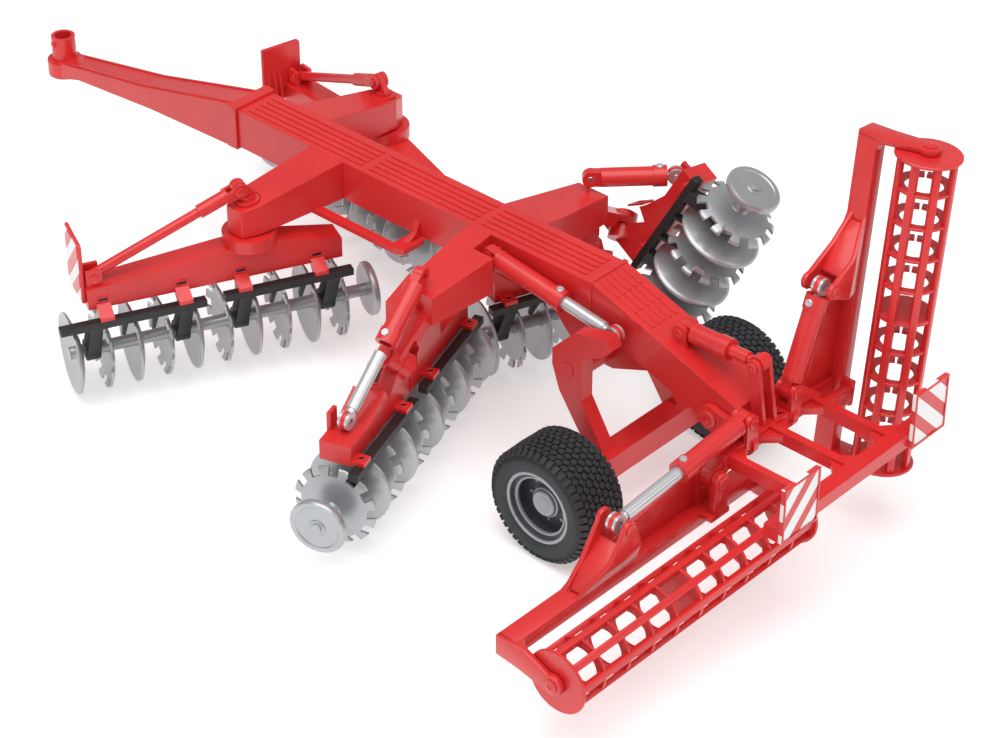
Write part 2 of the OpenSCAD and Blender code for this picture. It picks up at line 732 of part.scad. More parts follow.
module inner_discs(side) {
  rear_frame(side)
    disc_row(inner_places, false, false, inner_places[4] - axle_stub, inner_places[0] + axle_stub,
      rear_axle_z);
}

// Carrier bars with hangers around the axle

carrier_end = 3;

module carrier(from_u, to_u, hangers, axle_z) {
  mid_z = axle_z + carrier_up;
  half_w = hanger_w * link_bar_share / 2;
  front_y = carrier_back - carrier_w / 2;
  rear_y = carrier_back + carrier_w / 2;
  color(black) {
    block([from_u, front_y, mid_z - carrier_h / 2], [to_u, rear_y, mid_z + carrier_h / 2]);
    for (u = hangers)
      difference() {
        in_yz(u, hanger_t) {
          polygon([[-half_w, axle_z], [front_y, mid_z], [rear_y, mid_z],
            [rear_y, mid_z - carrier_h / 2], [half_w, axle_z]]);
          translate([0, axle_z]) circle(d = hanger_w);
        }
        long_pin(u - hanger_t, u + hanger_t, 0, axle_z, disc_axle_d + 2 * turn_gap);
      }
  }
}

function gap_mid(first, n) = first - (n + 0.5) * disc_pitch;

module front_carrier(side) {
  front_frame(side) for (n = [0, 5]) {
    first = front_outer_u - n * disc_pitch;
    carrier(first - 4 * disc_pitch - carrier_end, first + carrier_end,
      [gap_mid(first, 0), gap_mid(first, 3)], front_axle_z);
  }
}

module rear_carrier(first) {
  carrier(first - 4 * disc_pitch - carrier_end, first + carrier_end,
    [gap_mid(first, 0), gap_mid(first, 3)], rear_axle_z);
}

module outer_carrier(side) {
  fold_frame(side) rear_carrier(outer_places[0]);
}

module inner_carrier(side) {
  rear_frame(side) rear_carrier(inner_places[0]);
}

// Lugs that reach back from a gang beam and hold the carrier bars from above

lug_l = 7;
lug_t = 2;
lug_root = 3;

module carrier_lugs(places, half_w, beam_z, axle_z) {
  bar_top = axle_z + carrier_up + carrier_h / 2;
  for (u = places)
    in_yz(u, lug_l) polygon([[half_w - lug_root, beam_z + over], [half_w, beam_z + lug_root],
      [carrier_back + carrier_w / 2, bar_top + lug_t], [carrier_back + carrier_w / 2, bar_top],
      [carrier_back - carrier_w / 2, bar_top]]);
}

// Front gang beam with its collar, kingpin, fork and strut lug

beam_end_share = 0.93;
beam_in_share = -0.5;
lug_shares = [0.9, 3.5, 5.5, 8.1];
fork_rise = 8.5;
fork_lug_t = 3;
fork_eye_d = 8;
strut_lug_w = 8;
strut_lug_h = 9;
strut_u_share = 0.88;
sleeve_share = 0.2;

module front_beam(side) {
  out_u = front_outer_u * beam_end_share;
  in_u = front_outer_u * beam_in_share;
  end_z = front_beam_z + front_beam_end_h;
  mid_z = front_beam_z + front_beam_mid_h;
  tip_low = front_tip_z - front_tip_h;
  lug_u = front_outer_u * strut_u_share;
  low_z = tip_low - face_gap;
  color(red) front_frame(side) {
    in_xz(0, gang_beam_w) polygon([[in_u, front_beam_z], [out_u, front_beam_z], [out_u, end_z],
      [collar_d / 2, mid_z], [-collar_d / 2, mid_z], [in_u, end_z]]);
    translate([0, 0, mid_z - over]) cylinder(h = low_z - mid_z + over, d = collar_d);
    translate([0, 0, mid_z]) cylinder(h = front_tip_z + fork_rise / 2 - mid_z, d = kingpin_d);
    translate([0, 0, front_tip_z + face_gap]) cylinder(h = fork_rise / 4, d = seat_d - 2 * face_gap);
    in_xz(0, fork_lug_t)
      link2d([0, front_tip_z + fork_eye_d / 2], [kingpin_d / 2, front_tip_z + fork_rise], fork_eye_d);
    for (y = [-1, 1] * (strut_d / 2 + face_gap + lug_t / 2))
      in_xz(y, lug_t) translate([lug_u - strut_lug_w / 2, end_z - over])
        square([strut_lug_w, strut_lug_h + over]);
    carrier_lugs([for (n = lug_shares) front_outer_u - n * disc_pitch],
      gang_beam_w / 2, front_beam_z, front_axle_z);
  }
}

module front_strut(side) {
  fork = [kingpin_d / 2, 0, front_tip_z + fork_rise];
  foot = [front_outer_u * strut_u_share, 0, front_beam_z + front_beam_end_h + strut_lug_h / 2];
  reach = norm(foot - fork);
  cheek_y = fork_lug_t / 2 + face_gap + lug_t / 2;
  color(red) front_frame(side) along(fork, foot) {
    translate([0, 0, fork_eye_d]) cylinder(h = reach - fork_eye_d, d = strut_d);
    translate([0, 0, fork_eye_d * 3 / 4]) cylinder(h = reach * sleeve_share, d = strut_d + lug_t);
    for (y = [-1, 1] * cheek_y) translate([0, y + lug_t / 2, 0]) rotate([90, 0, 0]) linear_extrude(lug_t) {
      circle(d = fork_eye_d);
      translate([-strut_d / 2, 0]) square([strut_d, fork_eye_d]);
    }
  }
}

// Marker plates at the ends of the front gangs

marker_chamfer_share = 0.06;

module marker(side) {
  u = front_outer_u * beam_end_share;
  low = front_beam_z + 2 * over;
  cut = marker_w * marker_chamfer_share;
  color(red) front_frame(side) in_yz(u + marker_t / 2, marker_t) polygon([
    [gang_beam_w / 4, low], [gang_beam_w / 4, low + marker_h - cut],
    [gang_beam_w / 4 - cut, low + marker_h], [gang_beam_w / 4 - marker_w, low + marker_h],
    [gang_beam_w / 4 - marker_w, low]]);
}

// Folding outer gang beam with its fold pin and rod lugs

outer_rise_share = 0.45;
outer_lift_share = 0.6;
rod_lug_t = 2;
rod_lug_gap = 1;
rod_lug_l = 7;

module outer_beam(side) {
  in_u = fold_u * split_share;
  out_u = rear_outer_u - axle_stub;
  end_z = rear_beam_z + rear_beam_end_h;
  rise_u = in_u + (out_u - in_u) * outer_rise_share;
  pin_u = rear_outer_u * fold_rod_u_share;
  flat_u = pin_u - rod_lug_l;
  inner_end = fold_local - fold_axis_local * fold_eye_h;
  color(red) fold_frame(side) {
    carrier_lugs([gap_mid(outer_places[0], 0), gap_mid(outer_places[0], 3)], rear_beam_w / 2,
      rear_beam_z, rear_axle_z);
    in_xz(-gland_d / 2 - rod_lug_gap - rod_lug_t / 2, rod_lug_t)
      translate([pin_u - rod_lug_l / 2, end_z - over])
        square([rod_lug_l, over + fold_rod_lift + eye_d / 2]);
    difference() {
      union() {
        in_xz(0, rear_beam_w) polygon([[in_u, rear_beam_z], [out_u, rear_beam_z],
          [out_u, end_z], [flat_u, end_z], [rise_u, end_z + rear_beam_end_h * outer_lift_share],
          [fold_u + fold_eye_d / 2, fold_z + fold_eye_h], [in_u, fold_z + fold_eye_h]]);
        along(inner_end, fold_local) cylinder(h = fold_eye_h, d = fold_eye_d);
      }
      along(fold_local - fold_axis_local * face_gap, fold_local)
        cylinder(h = 2 * rear_beam_w, d = 3 * fold_eye_d);
    }
    along(inner_end, fold_local) cylinder(h = 2 * fold_eye_h, d = fold_pin_d);
  }
}

// Cylinders: a barrel bored for its rod, and a rod with an eye

barrel_neck = 0.8;
barrel_start = eye_d / 2 + barrel_neck;

module barrel_tube(length) {
  difference() {
    union() {
      translate([0, 0, barrel_start]) cylinder(h = length - barrel_start, d = barrel_d);
      translate([0, 0, length - gland_l]) cylinder(h = gland_l, d = gland_d);
    }
    translate([0, 0, barrel_start + barrel_neck]) cylinder(h = length, d = rod_d + 2 * turn_gap);
  }
}

module barrel(a, b, length) {
  color(red) along(a, b) {
    barrel_tube(length);
    difference() {
      union() {
        translate([0, eye_w / 2, 0]) rotate([90, 0, 0]) cylinder(h = eye_w, d = eye_d);
        translate([-eye_d * link_bar_share / 2, -eye_w / 2, 0])
          cube([eye_d * link_bar_share, eye_w, barrel_start + barrel_neck / 2]);
      }
      translate([0, eye_w, 0]) rotate([90, 0, 0]) cylinder(h = 2 * eye_w, d = eye_bore_d);
    }
  }
}

neck_share = 0.7;
neck_w_share = 0.9;

module rod(a, b, start, tint) {
  reach = norm(b - a);
  color(tint) along(a, b) difference() {
    union() {
      translate([0, 0, start]) cylinder(h = reach - start - eye_d * neck_share, d = rod_d);
      translate([0, 0, reach - eye_d * neck_share - barrel_neck])
        cylinder(h = eye_d * neck_share / 2 + barrel_neck, d = min(rod_d, eye_w) * neck_w_share);
      translate([0, eye_w / 2, reach]) rotate([90, 0, 0]) cylinder(h = eye_w, d = eye_d);
    }
    translate([0, eye_w, reach]) rotate([90, 0, 0]) cylinder(h = 2 * eye_w, d = eye_bore_d);
  }
}

// Rear fold cylinders: the left one stands long, the right one short

fold_long = norm(fold_rod_pin - fold_top_pin);
fold_short = norm(fold_rod_up - fold_top_pin);
fold_barrel_l = fold_short - eye_d / 2 - face_gap;
fold_rod_start = fold_long - fold_short + barrel_start + barrel_neck + face_gap;

module fold_barrel(side) {
  on_side(side) barrel(fold_top_pin, side > 0 ? fold_rod_pin : fold_rod_up, fold_barrel_l);
}

module fold_rod(side) {
  start = side > 0 ? fold_rod_start : fold_rod_start - (fold_long - fold_short);
  on_side(side) rod(fold_top_pin, side > 0 ? fold_rod_pin : fold_rod_up, start, silver);
}

// Wheel carriage: two arms with horns on one axle beam

arm_front_share = 0.75;
arm_rear_share = 0.65;
arm_neck_share = 0.4;
horn_top_share = 0.3;

module carriage() {
  end_y = track / 2 - wheel_w / 2 - 2 * over;
  pin_end = track / 2 + wheel_pin_d;
  rod_end = lift_y - eye_w / 2;
  front_x = carriage_x + carriage_arm_l * arm_front_share;
  rear_x = carriage_x - carriage_arm_l * arm_rear_share;
  low_z = carriage_z - carriage_tube_d;
  top_z = carriage_z + carriage_arm_l * arm_front_share;
  foot = [[rear_x, carriage_z], [rear_x, low_z], [-axle_beam_l / 2 + over, wheel_r],
    [axle_beam_l / 2, wheel_r], [carriage_x + carriage_arm_l * arm_neck_share, low_z],
    [front_x, carriage_z - over], [front_x, top_z - 2 * over]];
  horn = [[carriage_x - carriage_arm_l * horn_top_share, lift_rod_z + over],
    [lift_rod_x - eye_d * arm_rear_share, lift_rod_z + eye_d * arm_rear_share],
    [lift_rod_x - eye_d, lift_rod_z],
    [lift_rod_x - eye_d * arm_neck_share, lift_rod_z - eye_d * arm_rear_share], [rear_x, top_z - over]];
  plain = [[carriage_x + carriage_arm_l / 4, top_z], [carriage_x - carriage_arm_l / 4, top_z]];
  color(red) {
    for (side = [-1, 1]) on_side(side) difference() {
      in_xz(carriage_arm_y, carriage_arm_w) polygon(concat(foot, side > 0 ? horn : plain));
      cross_pin(carriage_x, carriage_z, 0, 2 * carriage_arm_y, carriage_pin_d + 2 * turn_gap);
    }
    cross_pin(lift_rod_x, lift_rod_z, rod_end, carriage_arm_y, eye_bore_d - 2 * open_gap);
    block([-axle_beam_l / 2, -end_y, wheel_r - axle_beam_h / 2],
      [axle_beam_l / 2, end_y, wheel_r + axle_beam_h / 2]);
    cross_pin(0, wheel_r, -pin_end, pin_end, wheel_pin_d);
  }
}

module lift_barrel() {
  barrel(lift_top_pin, lift_rod_pin, lift_barrel_l);
}

module lift_rod() {
  rod(lift_top_pin, lift_rod_pin, lift_barrel_l - lift_hold, silver);
}

lift_barrel_l = 47;
lift_hold = 8;

// Wheels

tyre_shares = [[0, 0.86], [0.3, 1], [0.74, 0.98], [0.95, 0.84], [1, 0.5]];

module tyre(side) {
  rise = wheel_r - rim_d / 2;
  half = [for (s = tyre_shares) [rim_d / 2 + s[0] * rise, s[1] * wheel_w / 2]];
  back = [for (i = [len(half) - 1 : -1 : 0]) [half[i][0], -half[i][1]]];
  color(black) translate([0, side * track / 2, wheel_r]) rotate([90, 0, 0])
    rotate_extrude($fn = 72) polygon(concat(half, back));
}

rim_w_share = 0.9;
rim_step_share = 0.78;
rim_step_t = 1.2;
rim_step_in = 3.4;
rim_bore_share = 0.6;

module rim(side) {
  half = rim_w_share * wheel_w / 2;
  face = half - wheel_inset;
  rim_r = rim_d / 2;
  color(grey) translate([0, side * track / 2, wheel_r]) rotate([-90 * side, 0, 0]) difference() {
    union() {
      difference() {
        translate([0, 0, -half]) cylinder(h = 2 * half, r = rim_r - turn_gap);
        translate([0, 0, -half - over]) cylinder(h = 2 * half + 2 * over, r = rim_r - rim_wall);
      }
      translate([0, 0, half - rim_step_in]) difference() {
        cylinder(h = rim_step_t, r = rim_r - rim_wall / 2);
        translate([0, 0, -over]) cylinder(h = rim_step_t + 2 * over, r = rim_r * rim_step_share);
      }
      translate([0, 0, face - wheel_disc_t]) cylinder(h = wheel_disc_t, r = rim_r - rim_wall / 2);
      translate([0, 0, face - over]) cylinder(h = hub_h + over, d = hub_d);
      translate([0, 0, -half]) cylinder(h = half + face, d = hub_d);
    }
    translate([0, 0, -half - over])
      cylinder(h = half + wheel_pin_d + 2 * over, d = wheel_pin_d + 2 * turn_gap);
  }
}

// Roller frame: side plates on the beam's tail, ladder, mast and hinge ends

mast_w = 7;
plate_d = 13;
hinge_d = 9;
hinge_pin_d = 4;
hinge_l = 6;

module roller_frame() {
  low = frame_top_z - bar_h;
  plate_y = beam_w / 2 + face_gap + hang_plate_t / 2;
  cross_y = roller_hinge_y - hinge_d / 2 - face_gap;
  color(red) difference() {
    union() {
      for (y = [-1, 1] * plate_y)
        in_xz(y, hang_plate_t) link2d([hang_x, hang_z], [cross_x, frame_top_z - bar_h / 2], plate_d);
      block([cross_x - bar_w / 2, -cross_y, low], [cross_x + bar_w / 2, cross_y, frame_top_z]);
      for (y = [-1, 0, 1] * long_bar_y)
        block([rear_bar_x, y - bar_w / 4, low], [cross_x, y + bar_w / 4, frame_top_z]);
      block([rear_bar_x - bar_w / 2, -rear_bar_y, low], [rear_bar_x + bar_w / 2, rear_bar_y, frame_top_z]);
      for (y = [-1, 1] * (eye_w / 2 + face_gap + cheek_t / 2))
        in_xz(y, cheek_t) link2d([mast_x, mast_z], [cross_x, frame_top_z - bar_h / 2], mast_w);
      for (side = [-1, 1]) on_side(side) {
        long_pin(cross_x - hinge_l / 2, cross_x + hinge_l / 2, roller_hinge_y, roller_hinge_z, hinge_d);
        in_yz(cross_x, hinge_l)
          bar2d([roller_hinge_y, roller_hinge_z], [cross_y - hinge_d, low + bar_h / 2],
            hinge_d * link_bar_share);
        for (x = [-1, 1] * (eye_w / 2 + face_gap + cheek_t / 2))
          in_yz(cross_x + x, cheek_t)
            link2d([roller_top_y, roller_top_z], [roller_top_y, frame_top_z - over], eye_d);
        long_pin(cross_x - lug_w / 2, cross_x + lug_w / 2, roller_top_y, roller_top_z, 2 * pin_r);
      }
    }
    cross_pin(hang_x, hang_z, -beam_w, beam_w, hang_pin_d + 2 * turn_gap);
    for (side = [-1, 1]) on_side(side)
      long_pin(cross_x - bar_w, cross_x + bar_w, roller_hinge_y, roller_hinge_z,
        hinge_pin_d + 2 * turn_gap);
  }
}

module warning_plates() {
  color("white") for (side = [-1, 1]) on_side(side)
    in_yz(rear_bar_x - bar_w / 2 - marker_t / 2, marker_t)
      translate([rear_bar_y - warning_w, frame_top_z - bar_h]) square([warning_w, warning_h]);
}

// Top link between the beam and the mast

link_barrel_share = 0.62;
link_hold = 8;
link_reach = norm(link_rear_pin - link_front_pin);

module link_barrel() {
  barrel(link_front_pin, link_rear_pin, link_reach * link_barrel_share);
}

module link_rod() {
  rod(link_front_pin, link_rear_pin, link_reach * link_barrel_share - link_hold, red);
}

// Folding roller arms

arm_in_y = roller_in_y - face_gap - roller_cheek_t;
arm_out_y = roller_out_y + face_gap + roller_cheek_t;
arm_web_t = 4;
bracket_l = 26;
bracket_t = 2.4;
bracket_share = 0.55;
deck_share = 0.42;
hinge_cheek_t = 4;

module roller_arm(side) {
  top = arm_beam_z + arm_beam_h;
  rear_x = arm_front_x - arm_beam_w;
  deck_z = top + (roller_rod_z - top) * deck_share;
  cheek_x = hinge_l / 2 + face_gap + hinge_cheek_t;
  eye_half = eye_d * link_bar_share / 2;
  color(red) roller_side(side) difference() {
    union() {
      block([rear_x, arm_in_y, arm_beam_z], [arm_front_x, arm_out_y, top]);
      for (y = [arm_in_y + roller_cheek_t / 2, arm_out_y - roller_cheek_t / 2])
        in_xz(y, roller_cheek_t) link2d([roller_x, roller_z],
          [arm_front_x - arm_beam_w / 2, arm_beam_z + arm_beam_h / 2], arm_beam_h);
      in_yz(arm_front_x - arm_web_t / 2, arm_web_t) polygon([
        [roller_hinge_y - hinge_d / 2, top - over], [roller_hinge_y - hinge_d / 2, roller_hinge_z],
        [roller_hinge_y, roller_hinge_z + hinge_d / 2], [roller_rod_y, deck_z],
        [roller_rod_y + bracket_l, top - over]]);
      for (x = [-1, 1] * (cheek_x - hinge_cheek_t / 2))
        in_yz(cross_x + x, hinge_cheek_t) {
          link2d([roller_hinge_y, roller_hinge_z], [roller_hinge_y, top], hinge_d);
          polygon([[roller_hinge_y, roller_hinge_z], [roller_hinge_y, top - over],
            [roller_hinge_y + bracket_l, top - over]]);
        }
      for (x = [-1, 1] * (gland_d / 2 + rod_lug_gap / 2 + bracket_t / 2))
        in_yz(cross_x + x, bracket_t) {
          translate([roller_rod_y, roller_rod_z]) circle(d = eye_d);
          polygon([[roller_rod_y - eye_half, roller_rod_z], [roller_rod_y + eye_half, roller_rod_z],
            [roller_rod_y + bracket_l * bracket_share, deck_z], [roller_rod_y + bracket_l, top - over],
            [roller_rod_y - bracket_l / 2, top - over]]);
        }
      long_pin(cross_x - cheek_x, cross_x + cheek_x, roller_hinge_y, roller_hinge_z, hinge_pin_d);
    }
    cross_pin(roller_x, roller_z, arm_in_y - over, arm_out_y + over, roller_pin_d + 2 * turn_gap);
  }
}

// Cage rollers

cage_corner_shares = [[1, -0.56], [1, 0.56], [0.36, 1], [-0.36, 1],
  [-1, 0.56], [-1, -0.56], [-0.36, -1], [0.36, -1]];
fin_w = 1.3;
fin_h = 0.7;

module roller(side) {
  length = roller_out_y - roller_in_y;
  bay = length / cage_bay_count;
  half_l = bay / 2 - cage_ring_w / 2;
  half_w = cage_d * sin(180 / cage_bar_count) / 2 - cage_bar_w / 2;
  window = [for (p = cage_corner_shares) [p[0] * half_w, p[1] * half_l]];
  color(red) roller_side(side) translate([roller_x, roller_in_y, roller_z]) rotate([-90, 0, 0]) {
    for (z = [0, length - roller_end_t])
      translate([0, 0, z]) cylinder(h = roller_end_t, d = roller_end_d);
    translate([0, 0, -roller_cheek_t]) cylinder(h = roller_cheek_t + over, d = roller_pin_d);
    translate([0, 0, length - over]) cylinder(h = roller_cheek_t + over, d = roller_pin_d);
    translate([0, 0, length / 2 - cage_wall / 2])
      cylinder(h = cage_wall, d = cage_d - cage_wall, $fn = cage_bar_count);
    difference() {
      union() {
        cylinder(h = length, d = cage_d, $fn = cage_bar_count);
        for (i = [0 : cage_bar_count - 1])
          rotate([0, 0, i * 360 / cage_bar_count]) translate([cage_d / 2 - 2 * fin_h, -fin_w / 2, 0])
            cube([3 * fin_h, fin_w, length]);
      }
      translate([0, 0, roller_end_t / 2])
        cylinder(h = length - roller_end_t, d = cage_d - 2 * cage_wall, $fn = cage_bar_count);
      for (i = [0 : cage_bar_count / 2 - 1], n = [0 : cage_bay_count - 1])
        rotate([0, 0, (i + 0.5) * 360 / cage_bar_count]) translate([0, 0, (n + 0.5) * bay])
          in_yz(0, 2 * cage_d) polygon(window);
    }
  }
}

// Roller cylinders: the left one stands long, the right one short

roller_long = norm(roller_rod_pin - roller_top_pin);
roller_short = norm(roller_rod_up - roller_top_pin);
roller_barrel_l = roller_short - eye_d / 2 - face_gap;
roller_rod_start = roller_long - roller_short + barrel_start + barrel_neck + face_gap;

module roller_barrel(side) {
  on_side(side)
    barrel(roller_top_pin, side > 0 ? roller_rod_pin : roller_rod_up, roller_barrel_l);
}

module roller_rod(side) {
  start = side > 0 ? roller_rod_start : roller_rod_start - (roller_long - roller_short);
  on_side(side) rod(roller_top_pin, side > 0 ? roller_rod_pin : roller_rod_up, start, silver);
}

parked() drawbar();
parked() main_beam();
parked() front_arm(1);  // front_arm_left
parked() front_arm(-1);  // front_arm_right
parked() rear_arm(1);  // rear_arm_left
parked() rear_arm(-1);  // rear_arm_right
parked() inner_carrier(1);  // inner_carrier_left
parked() inner_carrier(-1);  // inner_carrier_right
parked() front_beam(1);  // front_beam_left
parked() front_beam(-1);  // front_beam_right
parked() front_strut(1);  // front_strut_left
parked() front_strut(-1);  // front_strut_right
parked() front_carrier(1);  // front_carrier_left
parked() front_carrier(-1);  // front_carrier_right
parked() marker(1);  // marker_left
parked() marker(-1);  // marker_right
parked() front_discs(1);  // front_discs_left
parked() front_discs(-1);  // front_discs_right
parked() inner_discs(1);  // inner_discs_left
parked() inner_discs(-1);  // inner_discs_right
parked() outer_beam(1);  // outer_beam_left
parked() outer_beam(-1);  // outer_beam_right
parked() outer_carrier(1);  // outer_carrier_left
parked() outer_carrier(-1);  // outer_carrier_right
parked() outer_discs(1);  // outer_discs_left
parked() outer_discs(-1);  // outer_discs_right
parked() fold_barrel(1);  // fold_barrel_left
parked() fold_barrel(-1);  // fold_barrel_right
parked() fold_rod(1);  // fold_rod_left
parked() fold_rod(-1);  // fold_rod_right
parked() carriage();
parked() tyre(1);  // tyre_left
parked() tyre(-1);  // tyre_right
parked() rim(1);  // rim_left
parked() rim(-1);  // rim_right
parked() lift_barrel();
parked() lift_rod();
parked() roller_frame();
parked() warning_plates();
parked() link_barrel();
parked() link_rod();
parked() roller_arm(1);  // roller_arm_left
parked() roller_arm(-1);  // roller_arm_right
parked() roller(1);  // roller_left
parked() roller(-1);  // roller_right
parked() roller_barrel(1);  // roller_barrel_left
parked() roller_barrel(-1);  // roller_barrel_right
parked() roller_rod(1);  // roller_rod_left
parked() roller_rod(-1);  // roller_rod_right
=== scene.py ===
import bpy
import math
from mathutils import Matrix, Vector


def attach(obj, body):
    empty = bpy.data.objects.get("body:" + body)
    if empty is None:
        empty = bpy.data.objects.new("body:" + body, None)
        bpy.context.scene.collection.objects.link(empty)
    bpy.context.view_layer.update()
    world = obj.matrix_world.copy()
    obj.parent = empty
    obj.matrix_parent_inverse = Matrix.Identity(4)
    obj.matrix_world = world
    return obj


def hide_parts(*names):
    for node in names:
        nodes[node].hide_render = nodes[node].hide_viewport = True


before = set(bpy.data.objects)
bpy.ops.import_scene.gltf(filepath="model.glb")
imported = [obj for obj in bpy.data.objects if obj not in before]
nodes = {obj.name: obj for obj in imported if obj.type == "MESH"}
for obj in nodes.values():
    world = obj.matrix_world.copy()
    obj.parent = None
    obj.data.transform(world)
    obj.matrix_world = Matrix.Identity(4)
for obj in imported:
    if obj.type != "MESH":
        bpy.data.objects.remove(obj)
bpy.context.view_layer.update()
print("frame loaded:", len(nodes), "nodes")

# how the level toy is tipped onto its foremost disc, in metres and degrees
stance = {"pitch": 2.85065, "shiftX": 0.150729, "shiftY": 0.0317271, "wheelR": 0.030}
stanceMatrix = (Matrix.Translation((-stance["shiftX"], -stance["shiftY"], stance["wheelR"]))
                @ Matrix.Rotation(math.radians(stance["pitch"]), 4, "Y")
                @ Matrix.Translation((0, 0, -stance["wheelR"])))
levelPlace = Matrix.Identity(4)
sides = {"left": 1, "right": -1}
millimetre = 0.001


def deselectAll():
    if bpy.context.mode != "OBJECT":
        bpy.ops.object.mode_set(mode="OBJECT")
    bpy.ops.object.select_all(action="DESELECT")


def active():
    return bpy.context.view_layer.objects.active


def selectOnly(obj):
    deselectAll()
    obj.select_set(True)
    bpy.context.view_layer.objects.active = obj


# camera and light
camera = {"place": (-0.8049, 0.82915, 0.86357), "turn": (53.4827, -2.1901, -137.4427), "lens": 103.536,
          "sensor": 36, "near": 0.01}
softboxes = {
    "overheadSoftbox": {"place": (-0.15, 0.25, 1.25), "aim": (0, 0, 0.06), "size": (1.5, 1.2), "watts": 15.2},
    "leftSoftbox": {"place": (-0.1, 1.3, 0.6), "aim": (0, 0, 0.08), "size": (1.2, 0.7), "watts": 1.3},
    "rearSoftbox": {"place": (-1.3, -0.3, 0.7), "aim": (0, 0, 0.08), "size": (0.9, 0.7), "watts": 2.2},
}
studio = {"color": (1, 1, 1, 1), "strength": 0.40}

bpy.ops.object.camera_add(location=camera["place"], rotation=[math.radians(a) for a in camera["turn"]])
view = active()
view.name = "photoCamera"
view.data.lens = camera["lens"]
view.data.sensor_width = camera["sensor"]
view.data.sensor_fit = "HORIZONTAL"
view.data.clip_start = camera["near"]
bpy.context.scene.camera = view


def addSoftbox(name, spec):
    deselectAll()
    bpy.ops.object.light_add(type="AREA", location=spec["place"])
    box = active()
    box.name = name
    box.data.shape = "RECTANGLE"
    box.data.size, box.data.size_y = spec["size"]
    box.data.energy = spec["watts"]
    box.rotation_euler = (Vector(spec["aim"]) - Vector(spec["place"])).to_track_quat("-Z", "Y").to_euler()


for name, spec in softboxes.items():
    addSoftbox(name, spec)

world = bpy.data.worlds.new("whiteStudio")
bpy.context.scene.world = world
world.use_nodes = True
surround = world.node_tree.nodes["Background"]
surround.inputs["Color"].default_value = studio["color"]
surround.inputs["Strength"].default_value = studio["strength"]
bpy.context.scene.view_settings.view_transform = "Standard"
print("camera and light set")

# shared effect: a moulded skin whose tint and gloss change slowly, with a fine grain
skinNoise = {"wideScale": 26, "wideDetail": 3, "fineDetail": 4, "fineRough": 0.6, "tintFrom": 0.35,
             "tintTo": 0.7, "middle": 0.5}


def makeGroup(name, inputs, outputs):
    group = bpy.data.node_groups.new(name, "ShaderNodeTree")
    for label, kind in inputs:
        group.interface.new_socket(name=label, in_out="INPUT", socket_type=kind)
    for label, kind in outputs:
        group.interface.new_socket(name=label, in_out="OUTPUT", socket_type=kind)
    start = group.nodes.new("NodeGroupInput")
    end = group.nodes.new("NodeGroupOutput")
    return group, start, end


def makeMouldedSkin():
    group, start, end = makeGroup(
        "mouldedSkin",
        [("Vector", "NodeSocketVector"), ("Color", "NodeSocketColor"), ("Shade", "NodeSocketColor"),
         ("Roughness", "NodeSocketFloat"), ("Spread", "NodeSocketFloat"), ("Grain", "NodeSocketFloat")],
        [("Color", "NodeSocketColor"), ("Roughness", "NodeSocketFloat"), ("Height", "NodeSocketFloat")])
    make, link = group.nodes.new, group.links.new
    wide = make("ShaderNodeTexNoise")
    wide.inputs["Scale"].default_value = skinNoise["wideScale"]
    wide.inputs["Detail"].default_value = skinNoise["wideDetail"]
    fine = make("ShaderNodeTexNoise")
    fine.inputs["Detail"].default_value = skinNoise["fineDetail"]
    fine.inputs["Roughness"].default_value = skinNoise["fineRough"]
    ease = make("ShaderNodeMapRange")
    ease.inputs["From Min"].default_value = skinNoise["tintFrom"]
    ease.inputs["From Max"].default_value = skinNoise["tintTo"]
    blend = make("ShaderNodeMix")
    blend.data_type = "RGBA"
    centre = make("ShaderNodeMath")
    centre.operation = "SUBTRACT"
    centre.inputs[1].default_value = skinNoise["middle"]
    spread = make("ShaderNodeMath")
    spread.operation = "MULTIPLY_ADD"
    link(start.outputs["Vector"], wide.inputs["Vector"])
    link(start.outputs["Vector"], fine.inputs["Vector"])
    link(start.outputs["Grain"], fine.inputs["Scale"])
    link(wide.outputs["Fac"], ease.inputs["Value"])
    link(ease.outputs["Result"], blend.inputs["Factor"])
    link(start.outputs["Color"], blend.inputs["A"])
    link(start.outputs["Shade"], blend.inputs["B"])
    link(wide.outputs["Fac"], centre.inputs[0])
    link(centre.outputs[0], spread.inputs[0])
    link(start.outputs["Spread"], spread.inputs[1])
    link(start.outputs["Roughness"], spread.inputs[2])
    link(blend.outputs["Result"], end.inputs["Color"])
    link(spread.outputs[0], end.inputs["Roughness"])
    link(fine.outputs["Fac"], end.inputs["Height"])
    return group


mouldedSkin = makeMouldedSkin()

